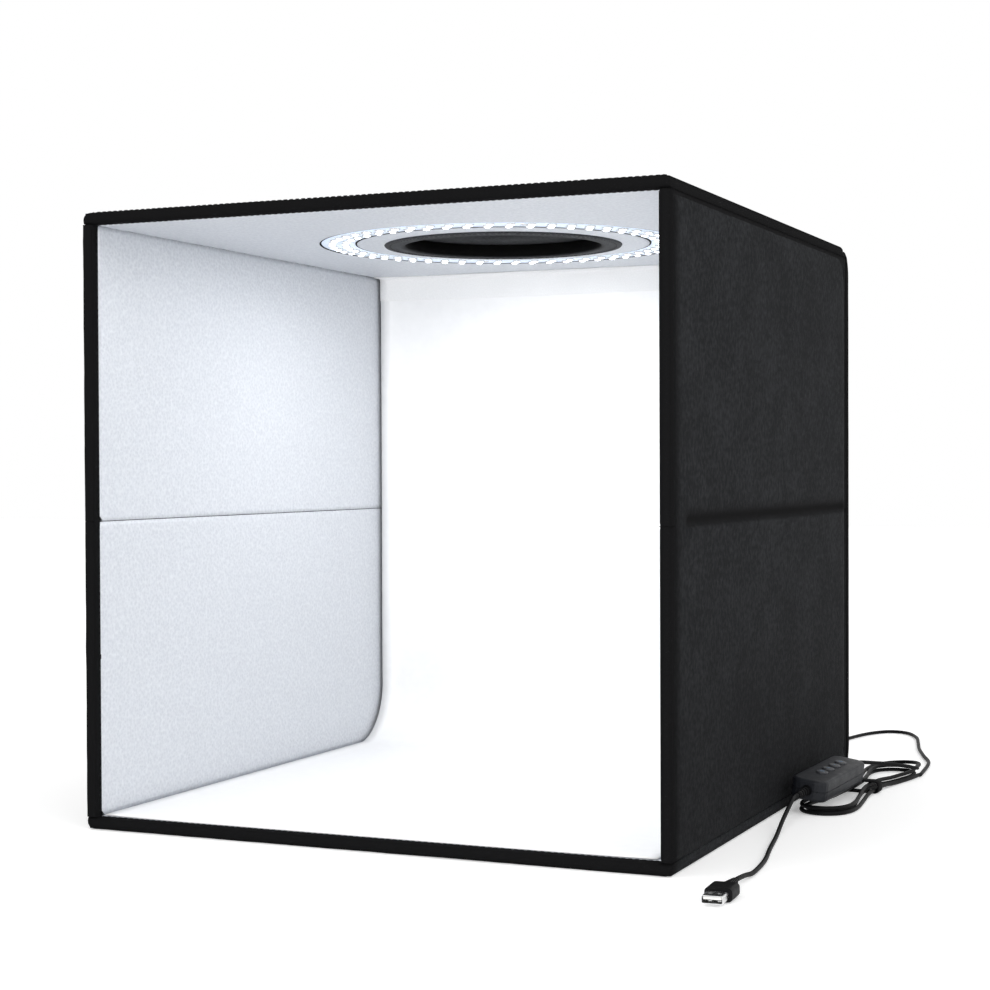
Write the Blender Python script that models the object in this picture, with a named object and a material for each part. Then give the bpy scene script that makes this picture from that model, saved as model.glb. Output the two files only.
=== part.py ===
# Folding light tent cube: seven stiff boards edged with black tape, a ring light in the
# ceiling, a hanging backdrop sheet and a lead with an in-line dimmer and a plug.
# Metres, +Z up. The open front faces -Y. The origin is on the floor, under the middle.

import math

import bmesh
import bpy
import numpy as np
from mathutils import Matrix, Vector
from mathutils.kdtree import KDTree

for old in list(bpy.data.objects):
    bpy.data.objects.remove(old, do_unlink=True)

# Driving sizes of the tent
tent_width = 0.400
tent_depth = 0.430
tent_height = 0.400
board_thickness = 0.008
rear_corner_radius = 0.023
front_corner_radius = 0.006
square_corner_radius = 0.0015

# Clearances
seat_gap = 0.0003
fold_gap = 0.0004
crease_gap = 0.0014
pivot_offset = 0.0004
overrun = 0.004

# Make-up of a board: tape round the edge, a stiff core, a skin on each face
tape_width = 0.012
tape_thickness = 0.001
tape_edge_thickness = 0.0015
tape_edge_round = 0.0028
skin_thickness = 0.0006
skin_sink = 0.0002

# Ring light, window and flap in the top board
ring_centre_y = 0.010
ring_outer_radius = 0.129
ring_band_width = 0.024
ring_board_thickness = 0.0016
ring_board_sink = 0.0004
led_outer_row_inset = 0.0075
led_inner_row_inset = 0.0170
led_outer_row_count = 56
led_inner_row_count = 50
led_size = 0.0034
led_height = 0.0007
fixing_head_radius = 0.0026
fixing_crown_radius = 0.0016
fixing_head_height = 0.0008
fixing_count = 6
fixing_row_inset = 0.0122
collar_wall = 0.0015
collar_flange_gap = 0.0205
collar_flange_width = 0.0150
collar_flange_thickness = 0.0014
flap_overlap = 0.0165
flap_thickness = 0.002
flap_corner_radius = 0.012
flap_hinge_tape_length = 0.150
flap_hinge_tape_width = 0.014
flap_tab_width = 0.026
flap_tab_length = 0.018
cloth_thickness = 0.0008

# Backdrop sheet and the strip that it hangs from
sheet_thickness = 0.0006
sheet_side_gap = 0.003
sheet_rear_gap = 0.007
sheet_sweep_radius = 0.046
sheet_front_gap = 0.006
hanger_drop = 0.019
hanger_flange = 0.012
hanger_thickness = 0.001

# Tabs that hold the back board shut
tab_width = 0.030
tab_inset = 0.080
tab_drop = 0.026
tab_reach = 0.022

# Lead, its outlet and the slot for it in the back board
lead_diameter = 0.0028
outlet_x = 0.150
outlet_root_radius = 0.0028
outlet_tip_radius = 0.0021
outlet_length = 0.022
outlet_root_depth = 0.006
slot_width = 0.014
slot_height = 0.032
slot_corner_radius = 0.0066

# Hank of the lead: loops drawn in at the tie, spiralling in on the floor and out on top
hank_x = 0.232
hank_y = 0.118
hank_turn_deg = -3.0
hank_half_length = 0.108
hank_waist = 0.0106
hank_lobe = 0.032
hank_pitch = 0.0054
hank_layer_step = 0.0034
hank_floor_gap = 0.0002
hank_start_deg = 42.0
hank_turns = 3.0
hank_climb_turns = 0.25
hank_points_a_turn = 24
tie_width = 0.010
tie_thickness = 0.0010
tie_ramp = 0.030
tie_corner_radius = 0.0028

# Dimmer
dimmer_length = 0.094
dimmer_width = 0.025
dimmer_height = 0.0145
dimmer_corner_radius = 0.0075
dimmer_edge_round = 0.0022
dimmer_wall = 0.0014
dimmer_middle = (0.2215, 0.062, 0.0172)
dimmer_pitch_deg = 1.5
dimmer_roll_deg = 8.0
dimmer_yaw_deg = -4.0
button_spacing = 0.0135
button_row_shift = 0.003
button_radius = 0.0042
button_proud = 0.0012
button_travel = 0.0009
button_flange = 0.0009
button_flange_thickness = 0.0008
button_stem_radius = 0.0015
circuit_thickness = 0.0014
circuit_margin = 0.0028
switch_size = 0.0055
switch_height = 0.0016
relief_root_radius = 0.0034
relief_tip_radius = 0.0021
relief_length = 0.018
relief_flange = 0.0010
relief_rib_count = 5
relief_rib_depth_share = 0.20

# Plug
plug_position = (0.2405, -0.2265, 0.0041)
plug_turn_deg = 182.9
plug_relief_length = 0.016
plug_body_length = 0.023
plug_body_width = 0.0156
plug_body_height = 0.0076
plug_body_corner = 0.0024
plug_shoulder_length = 0.005
plug_shell_length = 0.0120
plug_shell_width = 0.0120
plug_shell_height = 0.0045
plug_shell_wall = 0.0004
plug_shell_corner = 0.0009
plug_window_size = 0.0022
plug_window_spread = 0.0026
plug_window_from_tip = 0.0062
plug_tongue_width = 0.0100
plug_tongue_thickness = 0.0015
plug_tongue_recess = 0.0006

# Routes of the lead's free runs, chosen by hand
lead_point_spacing = 0.0075
curve_steps = 24
rear_lead_route = [
    (0.1500, 0.262, 0.0022), (0.1512, 0.290, 0.0016), (0.1548, 0.335, 0.0016),
    (0.1610, 0.378, 0.0016), (0.1700, 0.412, 0.0016), (0.1835, 0.431, 0.0016),
    (0.2000, 0.427, 0.0016), (0.2130, 0.402, 0.0016), (0.2210, 0.370, 0.0016),
    (0.2290, 0.335, 0.0016), (0.2400, 0.298, 0.0016), (0.2510, 0.262, 0.0016),
]
link_lead_route = [(0.2440, 0.168, 0.0135), (0.2345, 0.150, 0.0165)]
front_lead_route = [
    (0.2180, -0.022, 0.0150), (0.2195, -0.050, 0.0070), (0.2240, -0.082, 0.0024),
    (0.2300, -0.118, 0.0016), (0.2370, -0.155, 0.0016), (0.2405, -0.190, 0.0018),
    (0.2402, -0.206, 0.0032),
]

# Steps along rounded forms
corner_steps = 4
edge_steps = 3
round_steps = 16
window_steps = 48
sleeve_steps = 12
sweep_steps = 12

half_width = tent_width / 2
half_depth = tent_depth / 2
back_face_y = half_depth - seat_gap - cloth_thickness
board_rear_y = back_face_y - board_thickness - fold_gap
wall_low_z = board_thickness + fold_gap
crease_z = tent_height / 2
skin_face = skin_sink + skin_thickness
core_face = tape_thickness + seat_gap
lead_radius = lead_diameter / 2
ring_inner_radius = ring_outer_radius - ring_band_width
led_outer_row_radius = ring_outer_radius - led_outer_row_inset
led_inner_row_radius = ring_outer_radius - led_inner_row_inset
fixing_row_radius = ring_outer_radius - fixing_row_inset
collar_flange_radius = ring_inner_radius - collar_flange_gap
window_radius = collar_flange_radius - collar_flange_width
flap_size = 2 * (window_radius + flap_overlap)


def make_material(name, colour, roughness, metallic=0.0):
    material = bpy.data.materials.new(name)
    material.use_nodes = True
    shader = material.node_tree.nodes["Principled BSDF"]
    shader.inputs["Base Color"].default_value = (*colour, 1.0)
    shader.inputs["Roughness"].default_value = roughness
    shader.inputs["Metallic"].default_value = metallic
    return material


finishes = {
    "black_cloth": ((0.022, 0.023, 0.025), 0.85),
    "black_tape": ((0.008, 0.008, 0.009), 0.75),
    "fibre_board": ((0.45, 0.38, 0.28), 0.90),
    "silver_liner": ((0.66, 0.69, 0.74), 0.42),
    "white_sheet": ((0.90, 0.90, 0.90), 0.55),
    "hanger_cloth": ((0.80, 0.80, 0.80), 0.80),
    "white_circuit": ((0.85, 0.87, 0.90), 0.35),
    "black_plastic": ((0.030, 0.031, 0.034), 0.45),
    "black_rubber": ((0.018, 0.018, 0.020), 0.60),
    "green_circuit": ((0.03, 0.16, 0.07), 0.40),
    "button_plastic": ((0.045, 0.048, 0.055), 0.50),
    "white_plastic": ((0.85, 0.85, 0.83), 0.40),
}
materials = {name: make_material(name, *look) for name, look in finishes.items()}
materials["plated_steel"] = make_material("plated_steel", (0.72, 0.73, 0.75), 0.25, 1.0)


def add_object(name, mesh, finish, parent=None, location=(0, 0, 0), rotation=(0, 0, 0)):
    mesh.materials.append(materials[finish])
    piece = bpy.data.objects.new(name, mesh)
    bpy.context.scene.collection.objects.link(piece)
    piece.parent = parent
    piece.location = location
    piece.rotation_euler = rotation
    return piece


def add_empty(name, location, rotation=(0, 0, 0), parent=None):
    empty = bpy.data.objects.new(name, None)
    bpy.context.scene.collection.objects.link(empty)
    empty.parent = parent
    empty.location = location
    empty.rotation_euler = rotation
    return empty


def finish_mesh(bm, name, smooth):
    bmesh.ops.recalc_face_normals(bm, faces=bm.faces)
    mesh = bpy.data.meshes.new(name)
    bm.to_mesh(mesh)
    bm.free()
    if smooth:
        mesh.shade_smooth()
        mesh.set_sharp_from_angle(angle=math.radians(35))
    return mesh


def loft_mesh(name, solids, smooth=False):
    # Each solid is (loops, ring): loops of points joined one to the next, closed by a cap
    # at each end, or, where ring is true, joined from the last loop back to the first.
    bm = bmesh.new()
    for loops, ring in solids:
        rows = [[bm.verts.new(point) for point in loop] for loop in loops]
        pairs = list(zip(rows, rows[1:]))
        if ring:
            pairs.append((rows[-1], rows[0]))
        count = len(rows[0])
        for low, high in pairs:
            for i in range(count):
                j = (i + 1) % count
                bm.faces.new((low[i], low[j], high[j], high[i]))
        if not ring:
            bm.faces.new(rows[0])
            bm.faces.new(rows[-1])
    return finish_mesh(bm, name, smooth)


def rounded_outline(low, high, radii, inset=0.0):
    # Counter-clockwise from the low corner. An inset keeps the number of points.
    points = []
    corners = ((0, 0, 180), (1, 0, 270), (1, 1, 0), (0, 1, 90))
    for (side_x, side_y, start), radius in zip(corners, radii):
        turn = max(radius - inset, square_corner_radius / 2)
        reach = inset + turn
        centre_x = high[0] - reach if side_x else low[0] + reach
        centre_y = high[1] - reach if side_y else low[1] + reach
        for step in range(corner_steps + 1):
            angle = math.radians(start + 90 * step / corner_steps)
            points.append((centre_x + turn * math.cos(angle), centre_y + turn * math.sin(angle)))
    return points


def at_height(points, height):
    return [(x, y, height) for x, y in points]


def circle(radius, height, steps, centre=(0, 0)):
    angles = [2 * math.pi * i / steps for i in range(steps)]
    return [(centre[0] + radius * math.cos(a), centre[1] + radius * math.sin(a), height) for a in angles]


def slab(low, high, radii, inset, bottom, top):
    outline = rounded_outline(low, high, radii, inset)
    return ([at_height(outline, bottom), at_height(outline, top)], False)


def turned(profile, steps, centre=(0, 0)):
    # A closed section of (radius, height) pairs carried round the axis
    return ([circle(radius, height, steps, centre) for radius, height in profile], True)


def combine(piece, operation, *guides):
    for guide in guides:
        modifier = piece.modifiers.new(guide.name, "BOOLEAN")
        modifier.operation = operation
        modifier.solver = "EXACT"
        modifier.object = guide


def cut(piece, *cutters):
    combine(piece, "DIFFERENCE", *cutters)


def join(piece, *additions):
    combine(piece, "UNION", *additions)


def add_guide(name, solids, parent=None, location=(0, 0, 0), rotation=(0, 0, 0)):
    guide = add_object(name, loft_mesh(name, solids), "black_plastic", parent, location, rotation)
    guide.hide_render = True
    guide.display_type = "WIRE"
    return guide


def tape_section():
    # (inset from the board's edge, height) round the tape's C-shaped section
    edge = []
    for step in range(edge_steps + 1):
        angle = math.radians(90 * step / edge_steps)
        edge.append((tape_edge_round * (1 - math.sin(angle)), tape_edge_round * (1 - math.cos(angle))))
    upper_edge = [(inset, board_thickness - height) for inset, height in reversed(edge)]
    inner_low = tape_thickness
    inner_high = board_thickness - tape_thickness
    groove = [
        (tape_width, board_thickness),
        (tape_width, inner_high),
        (tape_edge_thickness, inner_high),
        (tape_edge_thickness, inner_low),
        (tape_width, inner_low),
    ]
    return [(tape_width, 0.0)] + edge + upper_edge + groove


def add_board(name, low, high, radii, parent, location, rotation, liner_finish="silver_liner"):
    # The outer face is at local height 0 and the inner face at the board's thickness.
    tape_loops = [
        at_height(rounded_outline(low, high, radii, inset), height) for inset, height in tape_section()
    ]
    place = (parent, location, rotation)
    core_inset = tape_edge_thickness + seat_gap
    skin_inset = tape_width + seat_gap
    inner_skin_low = board_thickness - skin_face
    tape = add_object(name + "_edge_tape", loft_mesh(name, [(tape_loops, True)], True), "black_tape", *place)
    core_solid = slab(low, high, radii, core_inset, core_face, board_thickness - core_face)
    core = add_object(name + "_core_board", loft_mesh(name, [core_solid]), "fibre_board", *place)
    cover_solid = slab(low, high, radii, skin_inset, skin_sink, skin_face)
    cover = add_object(name + "_outer_cloth", loft_mesh(name, [cover_solid]), "black_cloth", *place)
    liner_solid = slab(low, high, radii, skin_inset, inner_skin_low, board_thickness - skin_sink)
    liner = add_object(name + "_liner", loft_mesh(name, [liner_solid]), liner_finish, *place)
    return {"tape": tape, "core": core, "cover": cover, "liner": liner}


def wall_radii(rounded_corner):
    return [rear_corner_radius if i == rounded_corner else square_corner_radius for i in range(4)]


# Base board
front_y = -half_depth
floor_low = (-half_width, front_y)
floor_high = (half_width, board_rear_y)
floor_radii = (front_corner_radius, front_corner_radius, rear_corner_radius, rear_corner_radius)
base_axis = add_empty("base_frame", (0, 0, 0))
base_board = add_board("base", floor_low, floor_high, floor_radii, base_axis, (0, 0, 0), (0, 0, 0))

# Side walls: two half-height boards on each side, which fold inwards at the crease
quarter = math.pi / 2
lower_heights = (wall_low_z, crease_z - crease_gap / 2)
upper_heights = (crease_z + crease_gap / 2, tent_height - wall_low_z)
for side, name in ((-1, "left"), (1, "right")):
    floor_pivot = Vector((side * (half_width - board_thickness - pivot_offset), 0, wall_low_z))
    crease_pivot = Vector((side * (half_width + pivot_offset), 0, crease_z))
    wall_origin = Vector((side * half_width, 0, 0))
    turn = (0, -side * quarter, 0)
    for part, heights, pivot in (("lower", lower_heights, floor_pivot), ("upper", upper_heights, crease_pivot)):
        axis = add_empty(name + "_" + part + "_axis", pivot)
        if side > 0:
            low, high = (heights[0], front_y), (heights[1], board_rear_y)
            rear_corner = 3 if part == "lower" else 2
        else:
            low, high = (-heights[1], front_y), (-heights[0], board_rear_y)
            rear_corner = 2 if part == "lower" else 3
        add_board(name + "_" + part, low, high, wall_radii(rear_corner), axis, wall_origin - pivot, turn)

# Top board, turned over so that its liner faces down
top_pivot = Vector((-(half_width - board_thickness - pivot_offset), 0, tent_height - wall_low_z))
top_axis = add_empty("top_axis", top_pivot)
top_origin = Vector((0, 0, tent_height)) - top_pivot
top_turn = (0, math.pi, 0)
top_board = add_board("top", floor_low, floor_high, floor_radii, top_axis, top_origin, top_turn)
top_place = (top_axis, top_origin, top_turn)
ring_centre = (0.0, ring_centre_y)
collar_clear_radius = window_radius + collar_wall + seat_gap
ring_pocket_height = board_thickness - ring_board_sink - ring_board_thickness - seat_gap
through = (-overrun, board_thickness + overrun)


def disc(radius, bottom, top, steps, centre=(0, 0)):
    return ([circle(radius, bottom, steps, centre), circle(radius, top, steps, centre)], False)


def washer(inner, outer, bottom, top, steps, centre=(0, 0)):
    return turned([(inner, bottom), (outer, bottom), (outer, top), (inner, top)], steps, centre)


window_cutter = add_guide(
    "window_cutter", [disc(collar_clear_radius, *through, window_steps, ring_centre)], *top_place
)
pocket_low = ring_inner_radius - seat_gap
pocket_high = ring_outer_radius + seat_gap
pocket_solid = washer(pocket_low, pocket_high, ring_pocket_height, through[1], window_steps, ring_centre)
pocket_cutter = add_guide("ring_pocket_cutter", [pocket_solid], *top_place)
disc_cutter = add_guide("ring_disc_cutter", [disc(pocket_high, *through, window_steps, ring_centre)], *top_place)
cut(top_board["cover"], window_cutter)
cut(top_board["core"], window_cutter, pocket_cutter)
cut(top_board["liner"], disc_cutter)

liner_low = board_thickness - skin_face
liner_high = board_thickness - skin_sink
liner_disc = washer(collar_clear_radius, pocket_low, liner_low, liner_high, window_steps, ring_centre)
add_object("ceiling_liner_disc", loft_mesh("ceiling_liner_disc", [liner_disc]), "silver_liner", *top_place)

flange_low = board_thickness
flange_high = board_thickness + collar_flange_thickness
collar_profile = [
    (window_radius, skin_sink),
    (window_radius + collar_wall, skin_sink),
    (window_radius + collar_wall, flange_low),
    (collar_flange_radius, flange_low),
    (collar_flange_radius, flange_high - collar_flange_thickness / 2),
    (collar_flange_radius - collar_flange_thickness / 2, flange_high),
    (window_radius, flange_high),
]
collar_mesh = loft_mesh("window_collar", [turned(collar_profile, window_steps, ring_centre)], True)
add_object("window_collar", collar_mesh, "black_cloth", *top_place)

ring_face = board_thickness - ring_board_sink
ring_back = ring_face - ring_board_thickness
ring_solid = washer(ring_inner_radius, ring_outer_radius, ring_back, ring_face, window_steps, ring_centre)
ring_mesh = loft_mesh("ring_light_board", [ring_solid])
ring_board = add_object("ring_light_board", ring_mesh, "white_circuit", *top_place)
solder_depth = ring_board_thickness / 4


def led_solid(row_radius, angle):
    half = led_size / 2
    loops = []
    for height, taper in ((ring_face - solder_depth, 0.0), (ring_face + led_height, led_height / 4)):
        reach = half - taper
        loop = []
        for x, y in ((-reach, -reach), (reach, -reach), (reach, reach), (-reach, reach)):
            radial = row_radius + x
            px = radial * math.cos(angle) - y * math.sin(angle)
            py = radial * math.sin(angle) + y * math.cos(angle) + ring_centre_y
            loop.append((px, py, height))
        loops.append(loop)
    return (loops, False)


led_rows = ((led_outer_row_radius, led_outer_row_count), (led_inner_row_radius, led_inner_row_count))
led_solids = []
for row_radius, count in led_rows:
    led_solids += [led_solid(row_radius, 2 * math.pi * (i + 0.5) / count) for i in range(count)]

fixing_solids = []
for i in range(fixing_count):
    angle = 2 * math.pi * (i + 0.5) / fixing_count
    place = (fixing_row_radius * math.cos(angle), fixing_row_radius * math.sin(angle) + ring_centre_y)
    loops = [
        circle(fixing_head_radius, ring_face - solder_depth, round_steps, place),
        circle(fixing_head_radius, ring_face + fixing_head_height / 2, round_steps, place),
        circle(fixing_crown_radius, ring_face + fixing_head_height, round_steps, place),
    ]
    fixing_solids.append((loops, False))
join(
    ring_board,
    add_guide("ring_led_guide", led_solids, *top_place),
    add_guide("ring_fixing_guide", fixing_solids, *top_place),
)

# Strip under the rear of the ceiling that the backdrop hangs from
sheet_rear_y = board_rear_y - sheet_rear_gap
sheet_front_face_y = sheet_rear_y - sheet_thickness
sheet_half_width = half_width - board_thickness - sheet_side_gap
ceiling_z = tent_height - board_thickness
hanger_rear_y = sheet_front_face_y - seat_gap
hanger_section = [
    (hanger_rear_y, ceiling_z - seat_gap),
    (hanger_rear_y, ceiling_z - hanger_drop),
    (hanger_rear_y - hanger_thickness, ceiling_z - hanger_drop),
    (hanger_rear_y - hanger_thickness, ceiling_z - seat_gap - hanger_thickness),
    (hanger_rear_y - hanger_flange, ceiling_z - seat_gap - hanger_thickness),
    (hanger_rear_y - hanger_flange, ceiling_z - seat_gap),
]


def extruded_across(section, half_span):
    return ([[(side * half_span, y, z) for y, z in section] for side in (-1, 1)], False)


hanger_mesh = loft_mesh("backdrop_hanger", [extruded_across(hanger_section, sheet_half_width)])
add_object("backdrop_hanger", hanger_mesh, "hanger_cloth", top_axis, -top_pivot)

# Backdrop: hangs straight, sweeps forward and lies on the base's liner
sheet_floor_z = board_thickness + seat_gap
sheet_top_z = ceiling_z - 2 * seat_gap


def sheet_line(offset):
    radius = sheet_sweep_radius - offset
    centre = (sheet_rear_y - sheet_sweep_radius, sheet_floor_z + sheet_sweep_radius)
    points = [(sheet_rear_y - offset, sheet_top_z)]
    for step in range(sweep_steps + 1):
        angle = math.radians(90 * step / sweep_steps)
        points.append((centre[0] + radius * math.cos(angle), centre[1] - radius * math.sin(angle)))
    points.append((front_y + sheet_front_gap, sheet_floor_z + offset))
    return points


sheet_section = sheet_line(0.0) + list(reversed(sheet_line(sheet_thickness)))
sheet_mesh = loft_mesh("backdrop_sheet", [extruded_across(sheet_section, sheet_half_width)], True)
add_object("backdrop_sheet", sheet_mesh, "white_sheet", base_axis)

# Back board, hinged along the floor behind the other boards
back_pivot = Vector((0, back_face_y, 0))
back_axis = add_empty("back_axis", back_pivot)
back_low = (-half_width, 0.0)
back_high = (half_width, tent_height)
back_radii = (front_corner_radius, front_corner_radius, rear_corner_radius, rear_corner_radius)
back_turn = (quarter, 0, 0)
back_board = add_board("back", back_low, back_high, back_radii, back_axis, (0, 0, 0), back_turn)
slot_low = (outlet_x - slot_width / 2, -overrun)
slot_high = (outlet_x + slot_width / 2, slot_height)
slot_radii = [slot_corner_radius] * 4
slot_cutter = add_guide(
    "lead_slot_cutter", [slab(slot_low, slot_high, slot_radii, 0.0, *through)], back_axis, (0, 0, 0), back_turn
)
for piece in back_board.values():
    cut(piece, slot_cutter)

tab_rear_y = back_face_y + seat_gap
tab_front_y = back_face_y - board_thickness - tab_reach
tab_low_z = tent_height + seat_gap
tab_section = [
    (tab_rear_y, tent_height - tab_drop),
    (tab_rear_y + cloth_thickness, tent_height - tab_drop),
    (tab_rear_y + cloth_thickness, tab_low_z + cloth_thickness),
    (tab_front_y, tab_low_z + cloth_thickness),
    (tab_front_y, tab_low_z),
    (tab_rear_y, tab_low_z),
]
tab_x = half_width - tab_inset
for side, name in ((-1, "left_closure_tab"), (1, "right_closure_tab")):
    ends = (side * tab_x - tab_width / 2, side * tab_x + tab_width / 2)
    tab_solid = ([[(x, y, z) for y, z in tab_section] for x in ends], False)
    add_object(name, loft_mesh(name, [tab_solid]), "black_tape", back_axis, -back_pivot)

# Flap over the window, hinged at its rear edge
flap_rear_y = ring_centre_y + flap_size / 2
flap_low_z = tent_height + seat_gap
flap_pivot = Vector((0, flap_rear_y, flap_low_z + flap_thickness))
flap_axis = add_empty("flap_axis", flap_pivot)
flap_low = (-flap_size / 2, ring_centre_y - flap_size / 2)
flap_high = (flap_size / 2, flap_rear_y - fold_gap)
flap_solid = slab(flap_low, flap_high, [flap_corner_radius] * 4, 0.0, flap_low_z, flap_low_z + flap_thickness)
add_object("window_flap", loft_mesh("window_flap", [flap_solid]), "black_cloth", flap_axis, -flap_pivot)
flap_tab_rear_y = flap_low[1] - seat_gap
flap_tab_low = (-flap_tab_width / 2, flap_tab_rear_y - flap_tab_length)
flap_tab_high = (flap_tab_width / 2, flap_tab_rear_y)
flap_tab_radii = (flap_tab_length / 3, flap_tab_length / 3, square_corner_radius, square_corner_radius)
flap_tab_solid = slab(flap_tab_low, flap_tab_high, flap_tab_radii, 0.0, flap_low_z, flap_low_z + cloth_thickness)
add_object("flap_pull_tab", loft_mesh("flap_pull_tab", [flap_tab_solid]), "black_tape", flap_axis, -flap_pivot)
hinge_tape_low = (-flap_hinge_tape_length / 2, flap_rear_y + fold_gap)
hinge_tape_high = (flap_hinge_tape_length / 2, flap_rear_y + fold_gap + flap_hinge_tape_width)
hinge_tape_radii = [square_corner_radius] * 4
hinge_tape_heights = (flap_low_z, flap_low_z + cloth_thickness)
hinge_tape_solid = slab(hinge_tape_low, hinge_tape_high, hinge_tape_radii, 0.0, *hinge_tape_heights)
hinge_tape_mesh = loft_mesh("flap_hinge_tape", [hinge_tape_solid])
add_object("flap_hinge_tape", hinge_tape_mesh, "black_tape", top_axis, -top_pivot)

# Outlet: a tapered rubber sleeve where the lead leaves the rear edge of the base
outlet_z = board_thickness / 2
outlet_root_y = board_rear_y - outlet_root_depth
outlet_tip_y = board_rear_y + outlet_length


def along_y(points, y):
    return [(a, y, b) for a, b in points]


def ring_points(radius, steps):
    return [(radius * math.cos(2 * math.pi * i / steps), radius * math.sin(2 * math.pi * i / steps))
            for i in range(steps)]


def ribbed_loops(start_y, end_y, root_radius, tip_radius, steps):
    # Ribs and grooves of one width, tapering from the root to the tip
    loops = []
    stops = 2 * relief_rib_count
    for i in range(stops + 1):
        share = i / stops
        y = start_y + (end_y - start_y) * share
        radius = root_radius + (tip_radius - root_radius) * share
        groove = radius - relief_rib_depth_share * (radius - lead_radius / 2)
        rib_first = i % 2 == 0
        radii = (groove, radius) if rib_first else (radius, groove)
        if i == 0:
            radii = (radius,)
        if i == stops:
            radii = (groove,)
        loops += [along_y(ring_points(value, steps), y) for value in radii]
    return loops


outlet_loops = [along_y(ring_points(outlet_root_radius, sleeve_steps), outlet_root_y + seat_gap)]
outlet_loops += ribbed_loops(board_rear_y, outlet_tip_y, outlet_root_radius, outlet_tip_radius, sleeve_steps)
outlet_place = (base_axis, (outlet_x, 0, outlet_z))
outlet_mesh = loft_mesh("lead_outlet_sleeve", [(outlet_loops, False)], True)
add_object("lead_outlet_sleeve", outlet_mesh, "black_rubber", *outlet_place)
outlet_hole = ring_points(outlet_root_radius + seat_gap, sleeve_steps)
outlet_hole_loops = [along_y(outlet_hole, outlet_root_y), along_y(outlet_hole, board_rear_y + overrun)]
outlet_cutter = add_guide("outlet_cutter", [(outlet_hole_loops, False)], *outlet_place)
cut(base_board["tape"], outlet_cutter)
cut(base_board["core"], outlet_cutter)


# Dimmer: two moulded shells round a circuit, four sprung buttons, a sleeve at each end
def turn_about(pitch_deg, roll_deg, yaw_deg):
    return tuple(math.radians(value) for value in (pitch_deg, roll_deg, yaw_deg))


dimmer_turn = turn_about(dimmer_pitch_deg, dimmer_roll_deg, dimmer_yaw_deg)
dimmer_axis = add_empty("dimmer_frame", dimmer_middle, dimmer_turn, base_axis)
dimmer_low = (-dimmer_width / 2, -dimmer_length / 2)
dimmer_high = (dimmer_width / 2, dimmer_length / 2)
dimmer_radii = [dimmer_corner_radius] * 4
half_dimmer = dimmer_height / 2


def dimmer_loop(inset, height):
    return at_height(rounded_outline(dimmer_low, dimmer_high, dimmer_radii, inset), height)


def shell_loops(side):
    # From the middle of the outer face, over the rounded edge, down the wall and inside
    loops = []
    for step in range(edge_steps + 1):
        angle = math.radians(90 * step / edge_steps)
        inset = dimmer_edge_round * (1 - math.sin(angle))
        height = half_dimmer - dimmer_edge_round * (1 - math.cos(angle))
        loops.append(dimmer_loop(inset, side * height))
    loops.append(dimmer_loop(0.0, side * seat_gap / 2))
    loops.append(dimmer_loop(dimmer_wall, side * seat_gap / 2))
    loops.append(dimmer_loop(dimmer_wall, side * (half_dimmer - dimmer_wall)))
    return (loops, False)


lower_shell = add_object(
    "dimmer_lower_shell", loft_mesh("dimmer_lower_shell", [shell_loops(-1)], True), "black_plastic", dimmer_axis
)
upper_shell = add_object(
    "dimmer_upper_shell", loft_mesh("dimmer_upper_shell", [shell_loops(1)], True), "black_plastic", dimmer_axis
)
gland_hole = ring_points(relief_root_radius + seat_gap, sleeve_steps)
gland_reach = dimmer_length / 2 + overrun
gland_loops = [along_y(gland_hole, -gland_reach), along_y(gland_hole, gland_reach)]
gland_cutter = add_guide("gland_cutter", [(gland_loops, False)], dimmer_axis)
cut(lower_shell, gland_cutter)
cut(upper_shell, gland_cutter)

for side, name in ((1, "dimmer_rear_sleeve"), (-1, "dimmer_front_sleeve")):
    wall_inside = dimmer_length / 2 - dimmer_wall - seat_gap
    flange_points = ring_points(relief_root_radius + relief_flange, sleeve_steps)
    root_points = ring_points(relief_root_radius, sleeve_steps)
    sleeve_loops = [
        along_y(flange_points, side * (wall_inside - relief_flange)),
        along_y(flange_points, side * wall_inside),
        along_y(root_points, side * wall_inside),
    ]
    sleeve_end = dimmer_length / 2 + relief_length
    sleeve_loops += ribbed_loops(
        side * dimmer_length / 2, side * sleeve_end, relief_root_radius, relief_tip_radius, sleeve_steps
    )
    add_object(name, loft_mesh(name, [(sleeve_loops, False)], True), "black_rubber", dimmer_axis)

circuit_low_z = -half_dimmer + dimmer_wall + seat_gap
circuit_high_z = circuit_low_z + circuit_thickness
circuit_inset = dimmer_wall + circuit_margin
circuit_solid = slab(dimmer_low, dimmer_high, dimmer_radii, circuit_inset, circuit_low_z, circuit_high_z)
circuit = add_object("dimmer_circuit", loft_mesh("dimmer_circuit", [circuit_solid]), "green_circuit", dimmer_axis)
button_names = ("power", "brighter", "dimmer", "colour")
button_places = [button_row_shift + (i - 1.5) * button_spacing for i in range(len(button_names))]
switch_top_z = circuit_high_z + switch_height
switch_solids = []
for place_y in button_places:
    low = (-switch_size / 2, place_y - switch_size / 2)
    high = (switch_size / 2, place_y + switch_size / 2)
    bottom = circuit_high_z - circuit_thickness / 2
    switch_solids.append(slab(low, high, [square_corner_radius] * 4, 0.0, bottom, switch_top_z))
join(circuit, add_guide("switch_guide", switch_solids, dimmer_axis))

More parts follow.
